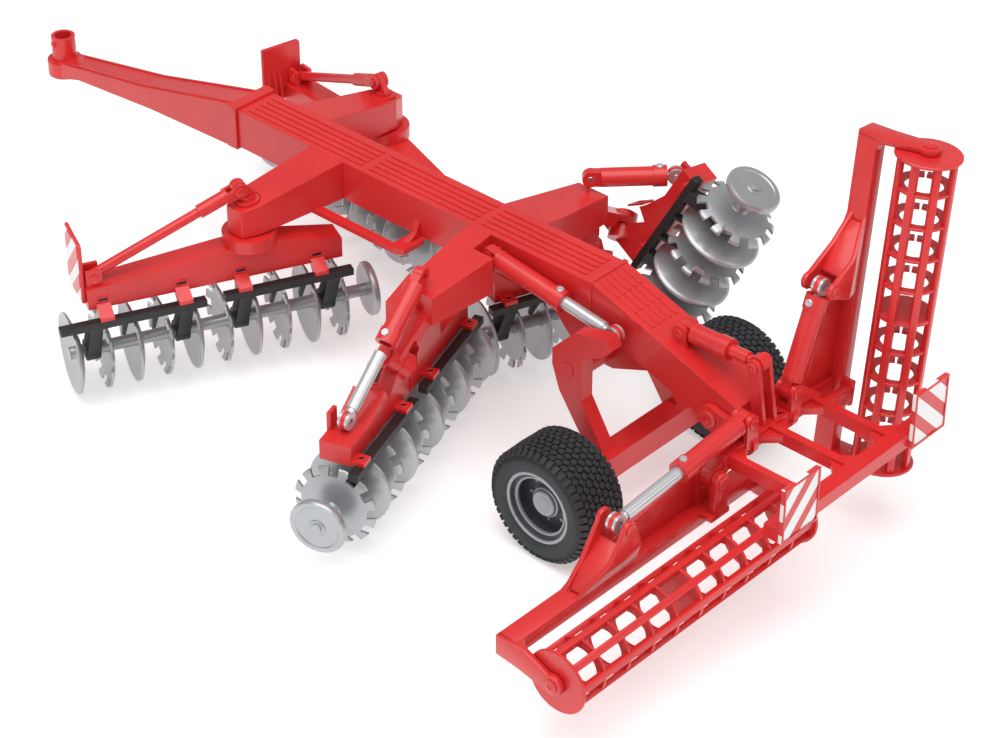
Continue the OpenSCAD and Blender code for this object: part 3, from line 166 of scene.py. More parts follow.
# finishes: tint and its darker shade, gloss and its spread, grain, and the slot that each one fills
surface = {"bumpDepth": 0.0002, "coatRough": 0.12}
finishes = {
    "redGloss": {
        "color": (0.70, 0.025, 0.025), "shade": (0.62, 0.019, 0.020), "rough": 0.34, "spread": 0.12,
        "grain": 900, "bump": 0.04, "metal": 0.0, "coat": 0.2, "slot": "red"},
    "silverDisc": {
        "color": (0.47, 0.485, 0.50), "shade": (0.40, 0.415, 0.43), "rough": 0.34, "spread": 0.16,
        "grain": 1400, "bump": 0.05, "metal": 0.6, "coat": 0.1, "slot": "disc"},
    "blackCarrier": {
        "color": (0.010, 0.010, 0.011), "shade": (0.018, 0.018, 0.020), "rough": 0.46, "spread": 0.2,
        "grain": 1200, "bump": 0.06, "metal": 0.0, "coat": 0.0, "slot": "carrier"},
    "silverRod": {
        "color": (0.66, 0.67, 0.69), "shade": (0.58, 0.59, 0.61), "rough": 0.26, "spread": 0.14,
        "grain": 1600, "bump": 0.03, "metal": 0.6, "coat": 0.1, "slot": "rod"},
    "tyreRubber": {
        "color": (0.016, 0.020, 0.023), "shade": (0.026, 0.031, 0.034), "rough": 0.60, "spread": 0.2,
        "grain": 1500, "bump": 0.12, "metal": 0.0, "coat": 0.0, "slot": "tyre"},
    "greyRim": {
        "color": (0.085, 0.095, 0.105), "shade": (0.065, 0.072, 0.08), "rough": 0.42, "spread": 0.18,
        "grain": 1300, "bump": 0.05, "metal": 0.2, "coat": 0.05, "slot": "rim"},
    "paleRim": {
        "color": (0.36, 0.385, 0.41), "shade": (0.29, 0.31, 0.33), "rough": 0.36, "spread": 0.16,
        "grain": 1300, "bump": 0.04, "metal": 0.35, "coat": 0.1, "slot": "rim"},
    "whitePlate": {
        "color": (0.84, 0.84, 0.83), "shade": (0.78, 0.78, 0.77), "rough": 0.34, "spread": 0.12,
        "grain": 900, "bump": 0.03, "metal": 0.0, "coat": 0.1, "slot": "plate"},
}


def startFinish(name, spec):
    mat = bpy.data.materials.new(name)
    mat.use_nodes = True
    tree = mat.node_tree
    shader = tree.nodes["Principled BSDF"]
    coords = tree.nodes.new("ShaderNodeTexCoord")
    skin = tree.nodes.new("ShaderNodeGroup")
    skin.node_tree = mouldedSkin
    skin.inputs["Roughness"].default_value = spec["rough"]
    skin.inputs["Spread"].default_value = spec["spread"]
    skin.inputs["Grain"].default_value = spec["grain"]
    tree.links.new(coords.outputs["Object"], skin.inputs["Vector"])
    tree.links.new(skin.outputs["Color"], shader.inputs["Base Color"])
    tree.links.new(skin.outputs["Roughness"], shader.inputs["Roughness"])
    return mat, shader, coords, skin


def tintSkin(skin, spec):
    skin.inputs["Color"].default_value = (*spec["color"], 1)
    skin.inputs["Shade"].default_value = (*spec["shade"], 1)


def addGrain(tree, shader, skin, strength):
    bump = tree.nodes.new("ShaderNodeBump")
    bump.inputs["Strength"].default_value = strength
    bump.inputs["Distance"].default_value = surface["bumpDepth"]
    tree.links.new(skin.outputs["Height"], bump.inputs["Height"])
    tree.links.new(bump.outputs["Normal"], shader.inputs["Normal"])


def makeFinish(name):
    spec = finishes[name]
    mat, shader, coords, skin = startFinish(name, spec)
    tintSkin(skin, spec)
    addGrain(mat.node_tree, shader, skin, spec["bump"])
    shader.inputs["Metallic"].default_value = spec["metal"]
    shader.inputs["Coat Weight"].default_value = spec["coat"]
    shader.inputs["Coat Roughness"].default_value = surface["coatRough"]
    return mat


materials = {name: makeFinish(name) for name in finishes}

# diagonal red and white stripes, leaning the other way on the other plate
stripes = {"width": 0.0164, "lean": 1.0, "rise": -0.1368, "share": 0.45, "red": (0.68, 0.05, 0.05),
           "white": (0.86, 0.86, 0.85), "rough": 0.3, "spread": 0.12, "grain": 900, "bump": 0.04}


def makeStripeFinish():
    mat, shader, coords, skin = startFinish("stripedPlate", stripes)
    tree = mat.node_tree
    make, link = tree.nodes.new, tree.links.new
    split = make("ShaderNodeSeparateXYZ")
    link(coords.outputs["Object"], split.inputs["Vector"])

    def worked(operation, first, second):
        step = make("ShaderNodeMath")
        step.operation = operation
        for place, value in enumerate((first, second)):
            if isinstance(value, (int, float)):
                step.inputs[place].default_value = value
            else:
                link(value, step.inputs[place])
        return step.outputs[0]

    across = worked("ABSOLUTE", worked("ADD", split.outputs["Y"], stance["shiftY"]), 0)
    slant = worked("ADD", worked("MULTIPLY", split.outputs["Z"], stripes["lean"]), across)
    phase = worked("FRACT", worked("DIVIDE", worked("ADD", slant, stripes["rise"]), stripes["width"]), 0)
    band = worked("LESS_THAN", phase, stripes["share"])
    tint = make("ShaderNodeMix")
    tint.data_type = "RGBA"
    tint.inputs["A"].default_value = (*stripes["white"], 1)
    tint.inputs["B"].default_value = (*stripes["red"], 1)
    link(band, tint.inputs["Factor"])
    link(tint.outputs["Result"], skin.inputs["Color"])
    link(tint.outputs["Result"], skin.inputs["Shade"])
    addGrain(tree, shader, skin, stripes["bump"])
    return mat


materials["stripedPlate"] = makeStripeFinish()
finishes["stripedPlate"] = {"slot": "plate"}

# floor: pale and a little bright of itself, so that it stays white behind the toy
floorLook = {"size": 8, "color": (0.80, 0.80, 0.80), "shade": (0.785, 0.785, 0.785), "rough": 0.55,
             "spread": 0.05, "grain": 200, "glowColor": (1, 1, 1, 1), "glow": 0.42}


def makeFloorFinish():
    mat, shader, coords, skin = startFinish("paleFloor", floorLook)
    tintSkin(skin, floorLook)
    shader.inputs["Emission Color"].default_value = floorLook["glowColor"]
    shader.inputs["Emission Strength"].default_value = floorLook["glow"]
    return mat


deselectAll()
bpy.ops.mesh.primitive_plane_add(size=floorLook["size"], location=(0, 0, 0))
floor = active()
floor.name = "paleFloor"
floor.data.materials.append(makeFloorFinish())

# finish of each solid, by the start of its name; the rest are red
nodeFinish = {
    "front_discs": "silverDisc", "inner_discs": "silverDisc", "outer_discs": "silverDisc",
    "inner_carrier": "blackCarrier", "front_carrier": "blackCarrier", "outer_carrier": "blackCarrier",
    "fold_rod": "silverRod", "lift_rod": "silverRod", "roller_rod": "silverRod",
    "tyre": "tyreRubber", "rim": "greyRim", "warning_plates": "stripedPlate",
}
edgeRound = {"redGloss": 0.0006, "blackCarrier": 0.0004, "silverDisc": 0.0, "silverRod": 0.0003,
             "greyRim": 0.0004, "tyreRubber": 0.0, "stripedPlate": 0.0003}
nodeMesh = {"weld": 0.00001, "flat": 0.6, "segments": 2, "sharp": 35}


def dressNode(name, obj):
    finish = next((f for start, f in nodeFinish.items() if name.startswith(start)), "redGloss")
    obj.data.materials.clear()
    obj.data.materials.append(materials[finish])
    weld = obj.modifiers.new("joinTriangles", "WELD")
    weld.merge_threshold = nodeMesh["weld"]
    flat = obj.modifiers.new("joinFlats", "DECIMATE")
    flat.decimate_type = "DISSOLVE"
    flat.angle_limit = math.radians(nodeMesh["flat"])
    if edgeRound[finish]:
        edge = obj.modifiers.new("softEdges", "BEVEL")
        edge.width = edgeRound[finish]
        edge.segments = nodeMesh["segments"]
        edge.limit_method = "ANGLE"
        edge.angle_limit = math.radians(nodeMesh["sharp"])
        edge.use_clamp_overlap = True
        edge.harden_normals = False
    smooth = obj.modifiers.new("evenShade", "WEIGHTED_NORMAL")
    smooth.keep_sharp = True


for name, obj in nodes.items():
    dressNode(name, obj)
print("finishes on the solids")

# where the moving groups stand on the level toy
toy = {"kingpinLeft": (0.2056, 0.0593, 0), "kingpinRight": (0.2294, 0.0593, 0), "frontAngle": 25.2,
       "frontSwing": 53.5, "gang": (0.0985, 0.0531, 0), "rearAngle": 19.3, "foldAngle": 91,
       "foldPin": (0.031, 0.004288, 0.075), "foldAxis": (0.52, -0.53, 0.67),
       "rollerHinge": (-0.070, 0.039, 0.0634), "rollerFold": 84.3}


def sidePlace(side):
    return levelPlace if side > 0 else Matrix.Scale(-1, 4, (0, 1, 0))


def turnedAbout(point, axis, degrees):
    point = Vector(point)
    turn = Matrix.Rotation(math.radians(degrees), 4, Vector(axis))
    return Matrix.Translation(point) @ turn @ Matrix.Translation(-point)


def frontPlace(side):
    pin = toy["kingpinLeft"] if side > 0 else toy["kingpinRight"]
    swing = turnedAbout(pin, (0, 0, 1), 0 if side > 0 else -toy["frontSwing"])
    lay = Matrix.Rotation(math.radians(90 - toy["frontAngle"]), 4, "Z")
    return sidePlace(side) @ swing @ Matrix.Translation(pin) @ lay


def gangPlace(side):
    lay = Matrix.Rotation(math.radians(90 + toy["rearAngle"]), 4, "Z")
    return sidePlace(side) @ Matrix.Translation(toy["gang"]) @ lay


def foldTurn(folded):
    return turnedAbout(toy["foldPin"], toy["foldAxis"], toy["foldAngle"] if folded else 0)


def foldPlace(side):
    return gangPlace(side) @ foldTurn(side < 0)


def rollerTurn(folded):
    return turnedAbout(toy["rollerHinge"], (1, 0, 0), toy["rollerFold"] if folded else 0)


def rollerPlace(side):
    return sidePlace(side) @ rollerTurn(side < 0)


# a piece made flat on X and Y is laid with its X to the right and its Z outwards
def facing(place, point, right, out):
    right, out = Vector(right).normalized(), Vector(out).normalized()
    axes = Matrix((right, out.cross(right), out)).transposed().to_4x4()
    return place @ Matrix.Translation(point) @ axes


def aimed(place, point, out):
    out = Vector(out).normalized()
    return facing(place, point, out.orthogonal(), out)


def alongPlace(start, end):
    run = Vector(end) - Vector(start)
    lean = Matrix.Rotation(math.acos(run.z / run.length), 4, "Y")
    return Matrix.Translation(start) @ Matrix.Rotation(math.atan2(run.y, run.x), 4, "Z") @ lean


# outlines
def inMetres(points):
    return [(x * millimetre, y * millimetre) for x, y in points]


def slab(width, height):
    right, top = width / 2, height / 2
    return [(-right, -top), (right, -top), (right, top), (-right, top)]


def evenCorners(radius, count):
    turns = [i * math.tau / count for i in range(count)]
    return [(radius * math.cos(a), radius * math.sin(a)) for a in turns]


def arcPoints(centre, radius, start, end, steps):
    turns = [math.radians(start + (end - start) * i / steps) for i in range(steps + 1)]
    return [(centre[0] + radius * math.cos(a), centre[1] + radius * math.sin(a)) for a in turns]


# modelling steps: a chain of points, a turned body, a plate cut to an outline, an open frame
craft = {"seed": 0.001, "weld": 0.000005, "sharp": 35}


def bakePlace():
    bpy.ops.object.transform_apply(location=True, rotation=True, scale=True)


def startChain(points):
    deselectAll()
    bpy.ops.mesh.primitive_plane_add(size=craft["seed"], location=(0, 0, 0))
    obj = active()
    bpy.ops.object.mode_set(mode="EDIT")
    bpy.ops.mesh.select_all(action="SELECT")
    bpy.ops.mesh.merge(type="CENTER")
    bpy.ops.transform.translate(value=points[0])
    for last, following in zip(points, points[1:]):
        step = Vector(following) - Vector(last)
        bpy.ops.mesh.extrude_region_move(TRANSFORM_OT_translate={"value": tuple(step)})
    bpy.ops.mesh.select_all(action="SELECT")
    return obj


def startFace(outline):
    obj = startChain([(x, y, 0) for x, y in outline + outline[:1]])
    bpy.ops.mesh.remove_doubles(threshold=craft["weld"])
    bpy.ops.mesh.edge_face_add()
    return obj


def closeShape():
    bpy.ops.mesh.select_all(action="SELECT")
    bpy.ops.mesh.remove_doubles(threshold=craft["weld"])
    bpy.ops.mesh.normals_make_consistent(inside=False)
    bpy.ops.object.mode_set(mode="OBJECT")


def spinPiece(profile, steps):
    obj = startChain([(r, 0, h) for r, h in profile])
    bpy.ops.mesh.spin(steps=steps, angle=math.tau, center=(0, 0, 0), axis=(0, 0, 1))
    closeShape()
    return obj


def cutPlate(outline, depth):
    obj = startFace(outline)
    bpy.ops.mesh.extrude_region_move(TRANSFORM_OT_translate={"value": (0, 0, depth)})
    closeShape()
    return obj


def cutFrame(width, height, border, depth):
    obj = startFace(slab(width, height))
    bpy.ops.mesh.inset(thickness=border)
    bpy.ops.mesh.delete(type="ONLY_FACE")
    bpy.ops.mesh.select_all(action="SELECT")
    bpy.ops.mesh.extrude_region_move(TRANSFORM_OT_translate={"value": (0, 0, depth)})
    closeShape()
    return obj


def softEdges(obj, width, segments=2):
    selectOnly(obj)
    bpy.ops.object.modifier_add(type="BEVEL")
    edge = obj.modifiers[-1]
    edge.width = width
    edge.segments = segments
    edge.limit_method = "ANGLE"
    edge.angle_limit = math.radians(craft["sharp"])
    bpy.ops.object.modifier_apply(modifier=edge.name)
    return obj


def spinCopies(obj, count):
    selectOnly(obj)
    bpy.ops.object.mode_set(mode="EDIT")
    bpy.ops.mesh.select_all(action="SELECT")
    bpy.ops.mesh.spin(steps=count, angle=math.tau, center=(0, 0, 0), axis=(0, 0, 1), dupli=True)
    closeShape()
    return obj


def laid(obj, place):
    obj.data.transform(place)
    return obj


def raised(obj, height):
    return laid(obj, Matrix.Translation((0, 0, height)))


def joinPieces(pieces):
    deselectAll()
    for part in pieces:
        part.select_set(True)
    bpy.context.view_layer.objects.active = pieces[0]
    bpy.ops.object.join()
    return active()


def finishPiece(obj, name, finish, body, place, angle=craft["sharp"]):
    selectOnly(obj)
    obj.name = name
    obj.data.name = name
    bakePlace()
    obj.data.transform(stanceMatrix @ place)
    if place.determinant() < 0:
        obj.data.flip_normals()
    obj.data.materials.clear()
    obj.data.materials.append(materials[finish])
    bpy.ops.object.shade_smooth_by_angle(angle=math.radians(angle))
    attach(obj, body)
    return obj


# tyre: a carcass turned from its profile, with staggered rows of small slanted blocks out to the shoulders
tyre = {"radius": 0.030, "track": 0.125, "steps": 92, "blocks": 46, "rows": 7, "tread": 0.0222,
        "height": 0.0022, "long": 0.0031, "wide": 0.0026, "slant": 24, "soft": 0.0003, "sink": 0.0001,
        "crownShare": 0.03, "shoulder": (0.0278, 0.0126), "shoulderLean": 40, "shoulderShares": (0.9, 1.5),
        "profile": [(0.0185, 0.0127), (0.0188, 0.0139), (0.0200, 0.0146), (0.0225, 0.0149), (0.0246, 0.0149),
                    (0.0250, 0.0145), (0.0268, 0.0139), (0.0279, 0.0126), (0.0285, 0.0104), (0.0286, 0.0)]}


def makeTreadRow(size, place, turn, shift):
    deselectAll()
    bpy.ops.mesh.primitive_cube_add(size=1, location=(0, 0, 0))
    block = active()
    block.scale = size
    bakePlace()
    bpy.ops.object.mode_set(mode="EDIT")
    bpy.ops.mesh.select_all(action="SELECT")
    bpy.ops.mesh.bevel(offset=tyre["soft"], segments=1, affect="EDGES")
    bpy.ops.object.mode_set(mode="OBJECT")
    block.rotation_euler = turn
    block.location = place
    bakePlace()
    block.rotation_euler = (0, 0, shift)
    bakePlace()
    return spinCopies(block, tyre["blocks"])


def makeTyre():
    half = tyre["profile"]
    height, long, wide = tyre["height"], tyre["long"], tyre["wide"]
    parts = [spinPiece(half + [(r, -w) for r, w in reversed(half[:-1])], tyre["steps"])]
    rowStep = tyre["tread"] / tyre["rows"]
    halfStep = math.pi / tyre["blocks"]
    for row in range(tyre["rows"]):
        across = (row - (tyre["rows"] - 1) / 2) * rowStep
        slant = math.radians(tyre["slant"] if row % 2 else -tyre["slant"])
        middle = tyre["radius"] - height / 2 - tyre["sink"] - abs(across) * tyre["crownShare"]
        parts.append(makeTreadRow((height, long, wide), (middle, 0, across), (slant, 0, 0),
                                  halfStep * (row % 2)))
    longShare, wideShare = tyre["shoulderShares"]
    shoulderR, shoulderY = tyre["shoulder"]
    for side in sides.values():
        lean = math.radians(-side * tyre["shoulderLean"])
        parts.append(makeTreadRow((height, long * longShare, wide * wideShare),
                                  (shoulderR, 0, side * shoulderY), (0, lean, 0), halfStep))
    return joinPieces(parts)


def wheelPlace(side):
    return aimed(levelPlace, (0, side * tyre["track"] / 2, tyre["radius"]), (0, side, 0))


for label, side in sides.items():
    piece = finishPiece(makeTyre(), "treadedTyre." + label, "tyreRubber", "wheel_" + label, wheelPlace(side))
    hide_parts("tyre_" + label)
print("tyres made")

# wheel face: two pale rings, a hub cap and a ring of bolts
wheelFace = {
    "edgeRing": [(0.0170, 0.0128), (0.0170, 0.0138), (0.0174, 0.0141), (0.0184, 0.0141), (0.0187, 0.0138),
                 (0.0187, 0.0128), (0.0170, 0.0128)],
    "stepRing": [(0.0141, 0.0104), (0.0141, 0.0116), (0.0144, 0.0119), (0.0151, 0.0119), (0.0153, 0.0116),
                 (0.0153, 0.0104), (0.0141, 0.0104)],
    "cap": [(0, 0.0094), (0.0040, 0.0094), (0.0046, 0.0098), (0.0060, 0.0098), (0.0066, 0.0092),
            (0.0066, 0.0084), (0.0076, 0.0080), (0.0080, 0.0070), (0.0080, 0.0044), (0, 0.0044)],
    "ringSteps": 72, "capSteps": 48, "boltRing": 0.0108, "bolts": 8, "boltR": 0.0011, "boltSides": 6,
    "boltTop": 0.0056, "boltSoft": 0.0002, "discFace": 0.0044}


def makeBoltRing():
    corners = evenCorners(wheelFace["boltR"], wheelFace["boltSides"])
    depth = wheelFace["boltTop"] - wheelFace["discFace"]
    bolt = softEdges(cutPlate(corners, depth), wheelFace["boltSoft"], 1)
    laid(bolt, Matrix.Translation((wheelFace["boltRing"], 0, wheelFace["discFace"])))
    return spinCopies(bolt, wheelFace["bolts"])


for label, side in sides.items():
    face = joinPieces([spinPiece(wheelFace["edgeRing"], wheelFace["ringSteps"]),
                       spinPiece(wheelFace["stepRing"], wheelFace["ringSteps"]),
                       spinPiece(wheelFace["cap"], wheelFace["capSteps"]), makeBoltRing()])
    finishPiece(face, "wheelFace." + label, "paleRim", "wheel_" + label, wheelPlace(side))
print("wheel faces made")

# cylinders: a collar on each barrel but the fold ones, and on all but the top link
# a bright pin in the gland and a red tongue in the rod's eye
foldRod = Vector((0.07544, 0, 0.06904))
rollerRod = Vector((-0.070, 0.104, 0.074))
cylinders = {
    "fold": {"top": (0.088, 0.0599, 0.1106), "long": gangPlace(1) @ foldRod,
             "short": gangPlace(1) @ foldTurn(True) @ foldRod, "collar": False},
    "roller": {"top": (-0.070, 0.016, 0.082), "long": rollerRod, "short": rollerTurn(True) @ rollerRod,
               "collar": True},
}
lift = {"top": (0.082, 0.0185, 0.1055), "end": (0.005, 0.0185, 0.095), "barrel": 0.047,
        "pin": (0.082, 0.021, 0.1055)}
topLink = {"top": (-0.022, 0, 0.101), "end": (-0.0645, 0, 0.102)}
ram = {"eyeGap": 0.0045, "glandHalf": 0.0035, "glandR": 0.0054, "tongueIn": 0.0040, "tongueR": 0.0045,
       "tongueHalf": 0.0011, "tongueSoft": 0.0002, "steps": 40, "pinSteps": 24,
       "collar": [(0.0047, 0.0062), (0.0051, 0.0064), (0.0051, 0.0076), (0.0047, 0.0078)],
       "pin": [(0, 0.0006), (0.0006, 0.0006), (0.0008, 0.0009), (0.0015, 0.0009), (0.0018, 0.0006),
               (0.0018, -0.0006), (0, -0.0006)]}


def addCollar(name, body, place):
    finishPiece(spinPiece(ram["collar"], ram["steps"]), "barrelCollar." + name, "redGloss", body, place)


def addGlandAndTongue(name, barrelBody, rodBody, place, barrelLength, reach):
    finishPiece(spinPiece(ram["pin"], ram["pinSteps"]), "glandPin." + name, "silverRod", barrelBody,
                aimed(place, (-ram["glandR"], 0, barrelLength - ram["glandHalf"]), (-1, 0, 0)))
    inner, outer, half = ram["tongueIn"], ram["tongueR"], ram["tongueHalf"]
    band = [(inner, -half), (outer, -half), (outer, half), (inner, half), (inner, -half)]
    finishPiece(softEdges(spinPiece(band, ram["steps"]), ram["tongueSoft"]), "rodTongue." + name, "redGloss",
                rodBody, aimed(place, (0, 0, reach), (0, 1, 0)))


for kind, spec in cylinders.items():
    top = Vector(spec["top"])
    barrelLength = (spec["short"] - top).length - ram["eyeGap"]
    for label, side in sides.items():
        name, barrelBody, rodBody = kind + "." + label, kind + "_barrel_" + label, kind + "_rod_" + label
        end = spec["long"] if side > 0 else spec["short"]
        place = sidePlace(side) @ alongPlace(top, end)
        if spec["collar"]:
            addCollar(name, barrelBody, place)
        addGlandAndTongue(name, barrelBody, rodBody, place, barrelLength, (end - top).length)
liftPlace = alongPlace(lift["top"], lift["end"])
addCollar("lift", "lift_barrel", liftPlace)
addGlandAndTongue("lift", "lift_barrel", "lift_rod", liftPlace, lift["barrel"],
                  (Vector(lift["end"]) - Vector(lift["top"])).length)
addCollar("link", "link_barrel", alongPlace(topLink["top"], topLink["end"]))
print("cylinders dressed")

# heads of the pins, with a dimple: body, group that places it, centre, direction and size
pinHead = {"shares": [(0, 0.6), (0.34, 0.6), (0.44, 1), (0.8, 1), (1, 0.7), (1, 0), (0, 0)], "steps": 32,
           "foldReach": 0.00705,
           "sizes": {"hang": (0.0042, 0.0011), "small": (0.0026, 0.0008), "eye": (0.0027, 0.0008),
                     "hinge": (0.0033, 0.0010), "rod": (0.0030, 0.0009), "fold": (0.0044, 0.0012),
                     "roller": (0.0032, 0.0008)}}
foldTip = Vector(toy["foldPin"]) + Vector(toy["foldAxis"]).normalized() * pinHead["foldReach"]
pins = {
    "hangPin": ("frame", sidePlace, (-0.050, 0.0162, 0.073), (0, 1, 0), "hang"),
    "linkPin": ("frame", sidePlace, (-0.022, 0.005, 0.101), (0, 1, 0), "small"),
    "mastPin": ("roller_frame", sidePlace, (-0.0645, 0.005, 0.102), (0, 1, 0), "small"),
    "eyePinRear": ("roller_frame", sidePlace, (-0.075, 0.016, 0.082), (-1, 0, 0), "eye"),
    "eyePinFront": ("roller_frame", sidePlace, (-0.065, 0.016, 0.082), (1, 0, 0), "eye"),
    "hingePin": ("roller_arm_", rollerPlace, (-0.0773, 0.039, 0.0634), (-1, 0, 0), "hinge"),
    "rodPinRear": ("roller_arm_", rollerPlace, (-0.0783, 0.104, 0.074), (-1, 0, 0), "rod"),
    "rodPinFront": ("roller_arm_", rollerPlace, (-0.0617, 0.104, 0.074), (1, 0, 0), "rod"),
    "foldPin": ("outer_gang_", foldPlace, foldTip, toy["foldAxis"], "fold"),
    "forkPinRear": ("front_gang_", frontPlace, (0.004, 0.0038, 0.110), (0, 1, 0), "small"),
    "forkPinFront": ("front_gang_", frontPlace, (0.004, -0.0038, 0.110), (0, -1, 0), "small"),
    "strutPinRear": ("front_gang_", frontPlace, (0.08008, 0.0048, 0.079), (0, 1, 0), "small"),
    "strutPinFront": ("front_gang_", frontPlace, (0.08008, -0.0048, 0.079), (0, -1, 0), "small"),
}


def makePinHead(size):
    radius, height = pinHead["sizes"][size]
    return spinPiece([(r * radius, h * height) for r, h in pinHead["shares"]], pinHead["steps"])


for label, side in sides.items():
    for name, (body, group, point, out, size) in pins.items():
        rider = body + label if body.endswith("_") else body
        finishPiece(makePinHead(size), name + "." + label, "redGloss", rider, aimed(group(side), point, out))
finishPiece(makePinHead("eye"), "liftPin", "redGloss", "frame", aimed(levelPlace, lift["pin"], (0, 1, 0)))
print("pin heads made")

# snap slots on the front gang beams and round holes on the rear lugs, each with a black plate painted in as
# the shade of its hollow
snapSlot = {"shares": (0.9, 3.5, 5.5, 8.1), "outer": 0.091, "pitch": 0.0152, "back": 0.007, "high": 0.0682,
            "frame": (0.0064, 0.0032, 0.0008, 0.0005), "frameSoft": 0.0002,
            "paintedShade": (0.0048, 0.0016), "paintedShadeT": 0.0002, "paintedShadeSoft": 0.00008}
lugHole = {"outer": (0.0844, 0.0388), "inner": (0.0084, -0.0372), "back": 0.0113, "high": 0.0567, "steps": 28,
           "ring": [(0.0012, 0.0), (0.0012, 0.0005), (0.0014, 0.0007), (0.0019, 0.0007), (0.0021, 0.0005),
                    (0.0021, 0.0)],
           "paintedShade": [(0, 0.0002), (0.0010, 0.0002), (0.0013, 0.0001), (0.0013, -0.0003), (0, -0.0003)]}


def addSlots(label, side):
    body = "front_gang_" + label
    for number, share in enumerate(snapSlot["shares"]):
        spot = (snapSlot["outer"] - share * snapSlot["pitch"], snapSlot["back"], snapSlot["high"])
        place = facing(frontPlace(side), spot, (-1, 0, 0), (0, 1, 0))
        tag = "." + label + str(number)
        rim = softEdges(cutFrame(*snapSlot["frame"]), snapSlot["frameSoft"])
        finishPiece(rim, "slotFrame" + tag, "redGloss", body, place)
        # a black plate painted in the slot as the shade of its hollow
        paintedShade = softEdges(cutPlate(slab(*snapSlot["paintedShade"]), snapSlot["paintedShadeT"]), snapSlot["paintedShadeSoft"], 1)
        finishPiece(paintedShade, "slotShade" + tag, "blackCarrier", body, place)


def addHoles(row, label, body, place):
    for number, along in enumerate(lugHole[row]):
        spot = aimed(place, (along, lugHole["back"], lugHole["high"]), (0, 0, 1))
        tag = "." + row + "." + label + str(number)
        ring = spinPiece(lugHole["ring"], lugHole["steps"])
        finishPiece(ring, "holeRing" + tag, "redGloss", body, spot)
        # a black disc painted in the hole as the shade of its hollow
        paintedShade = spinPiece(lugHole["paintedShade"], lugHole["steps"])
        finishPiece(paintedShade, "holeShade" + tag, "blackCarrier", body, spot)


for label, side in sides.items():
    addSlots(label, side)
    addHoles("outer", label, "outer_gang_" + label, foldPlace(side))
    addHoles("inner", label, "frame", gangPlace(side))
print("slots and holes made")

# plates: red frames on the rear plates, stripes and ribs on the front markers, whose bands are in millimetres
plateFrame = {"place": (-0.126, 0.0475, 0.0805), "size": (0.025, 0.029, 0.0011, 0.0005), "soft": 0.00015}
marker = {"face": 0.08663, "back": 0.08463, "low": 0.0663, "front": -0.0197, "wide": 0.0224, "tall": 0.0314,
          "skin": 0.0002, "skinSoft": 0.00008, "bandSoft": 0.00005,
          "bands": [[(6, 0), (14, 0), (22.4, 8.4), (22.4, 16.4)],
                    [(0, 2), (22.4, 24.4), (22.4, 31.4), (21.4, 31.4), (0, 10)],
                    [(0, 18), (13.4, 31.4), (5.4, 31.4), (0, 26)]],
          "rib": [(0.0, 0.0), (0.0, 0.018), (-0.003, 0.0)], "ribPlaces": (-0.0165, -0.0130, -0.0095),
          "ribT": 0.0012, "ribSoft": 0.0002}


def addMarkerDress(label, side):
    front, body = frontPlace(side), "front_gang_" + label
    place = facing(front, (marker["face"], marker["front"], marker["low"]), (0, 1, 0), (1, 0, 0))
    corners = [(0, 0), (marker["wide"], 0), (marker["wide"], marker["tall"]), (0, marker["tall"])]
    face = softEdges(cutPlate(corners, marker["skin"]), marker["skinSoft"], 1)
    finishPiece(face, "markerFace." + label, "whitePlate", body, place)
    bands = [cutPlate(inMetres(band), marker["skin"] * 2) for band in marker["bands"]]
    finishPiece(softEdges(joinPieces(bands), marker["bandSoft"], 1), "markerBands." + label, "redGloss", body,
                place)
    ribs = [raised(softEdges(cutPlate(marker["rib"], marker["ribT"]), marker["ribSoft"], 1), -across)
            for across in marker["ribPlaces"]]
    finishPiece(joinPieces(ribs), "markerRibs." + label, "redGloss", body,
                facing(front, (marker["back"], 0, marker["low"]), (1, 0, 0), (0, -1, 0)))


for label, side in sides.items():
    rim = softEdges(cutFrame(*plateFrame["size"]), plateFrame["soft"])
    finishPiece(rim, "plateFrame." + label, "redGloss", "roller_frame",
                facing(sidePlace(side), plateFrame["place"], (0, -1, 0), (-1, 0, 0)))
    addMarkerDress(label, side)
print("plates made")

# drawbar rails, hitch catch, pockets at the folds with a black floor painted as their shade and the carrier
# behind, and gussets in the ladder, with corners in millimetres
rail = {"line": [(0.0, 0.08309), (-0.0625, 0.09395), (-0.1335, 0.11115)], "up": 0.0007, "down": 0.0006,
        "wide": 0.0012, "start": (0.404, 0.0063, 0), "turn": -0.944, "soft": 0.0003}
catch = {"outline": [(0, 0), (0.0016, 0.0010), (0.0016, 0.0026), (0, 0.0034)], "wide": 0.0026,
         "place": (0.4127, 0.0062, 0.0900), "soft": 0.0003}
# the pocket's floor is a black plate painted as the shade of its hollow, with the black carrier seen through
# it
pocket = {"place": (0.0458, 0, 0.0757), "along": (0.797, 0, -0.604), "out": (0.604, 0, 0.797),
          "frame": (0.0100, 0.0090, 0.0013, 0.0012), "frameSoft": 0.0003,
          "floor": (0.0076, 0.0066), "hollowShadeT": 0.0003, "hollowShadeSoft": 0.0001}
gusset = {"low": 0.0675, "thick": 0.004, "soft": 0.0003,
          "corners": [[(-74, 28), (-74, 20), (-82, 28)], [(-116, 28), (-116, 20), (-108, 28)],
                      [(-116, 32), (-116, 42), (-107, 32)], [(-74, 2), (-74, 10), (-82, 2)],
                      [(-116, 2), (-116, 10), (-108, 2)]]}


def addRail(label, side):
    line = rail["line"]
    outline = [(x, z + rail["up"]) for x, z in line] + [(x, z - rail["down"]) for x, z in reversed(line)]
    turn = Matrix.Rotation(math.radians(rail["turn"]), 4, "Z")
    place = sidePlace(side) @ Matrix.Translation(rail["start"]) @ turn
    finishPiece(softEdges(cutPlate(outline, rail["wide"]), rail["soft"]), "drawbarRail." + label, "redGloss",
                "frame", facing(place, (0, 0, 0), (1, 0, 0), (0, -1, 0)))


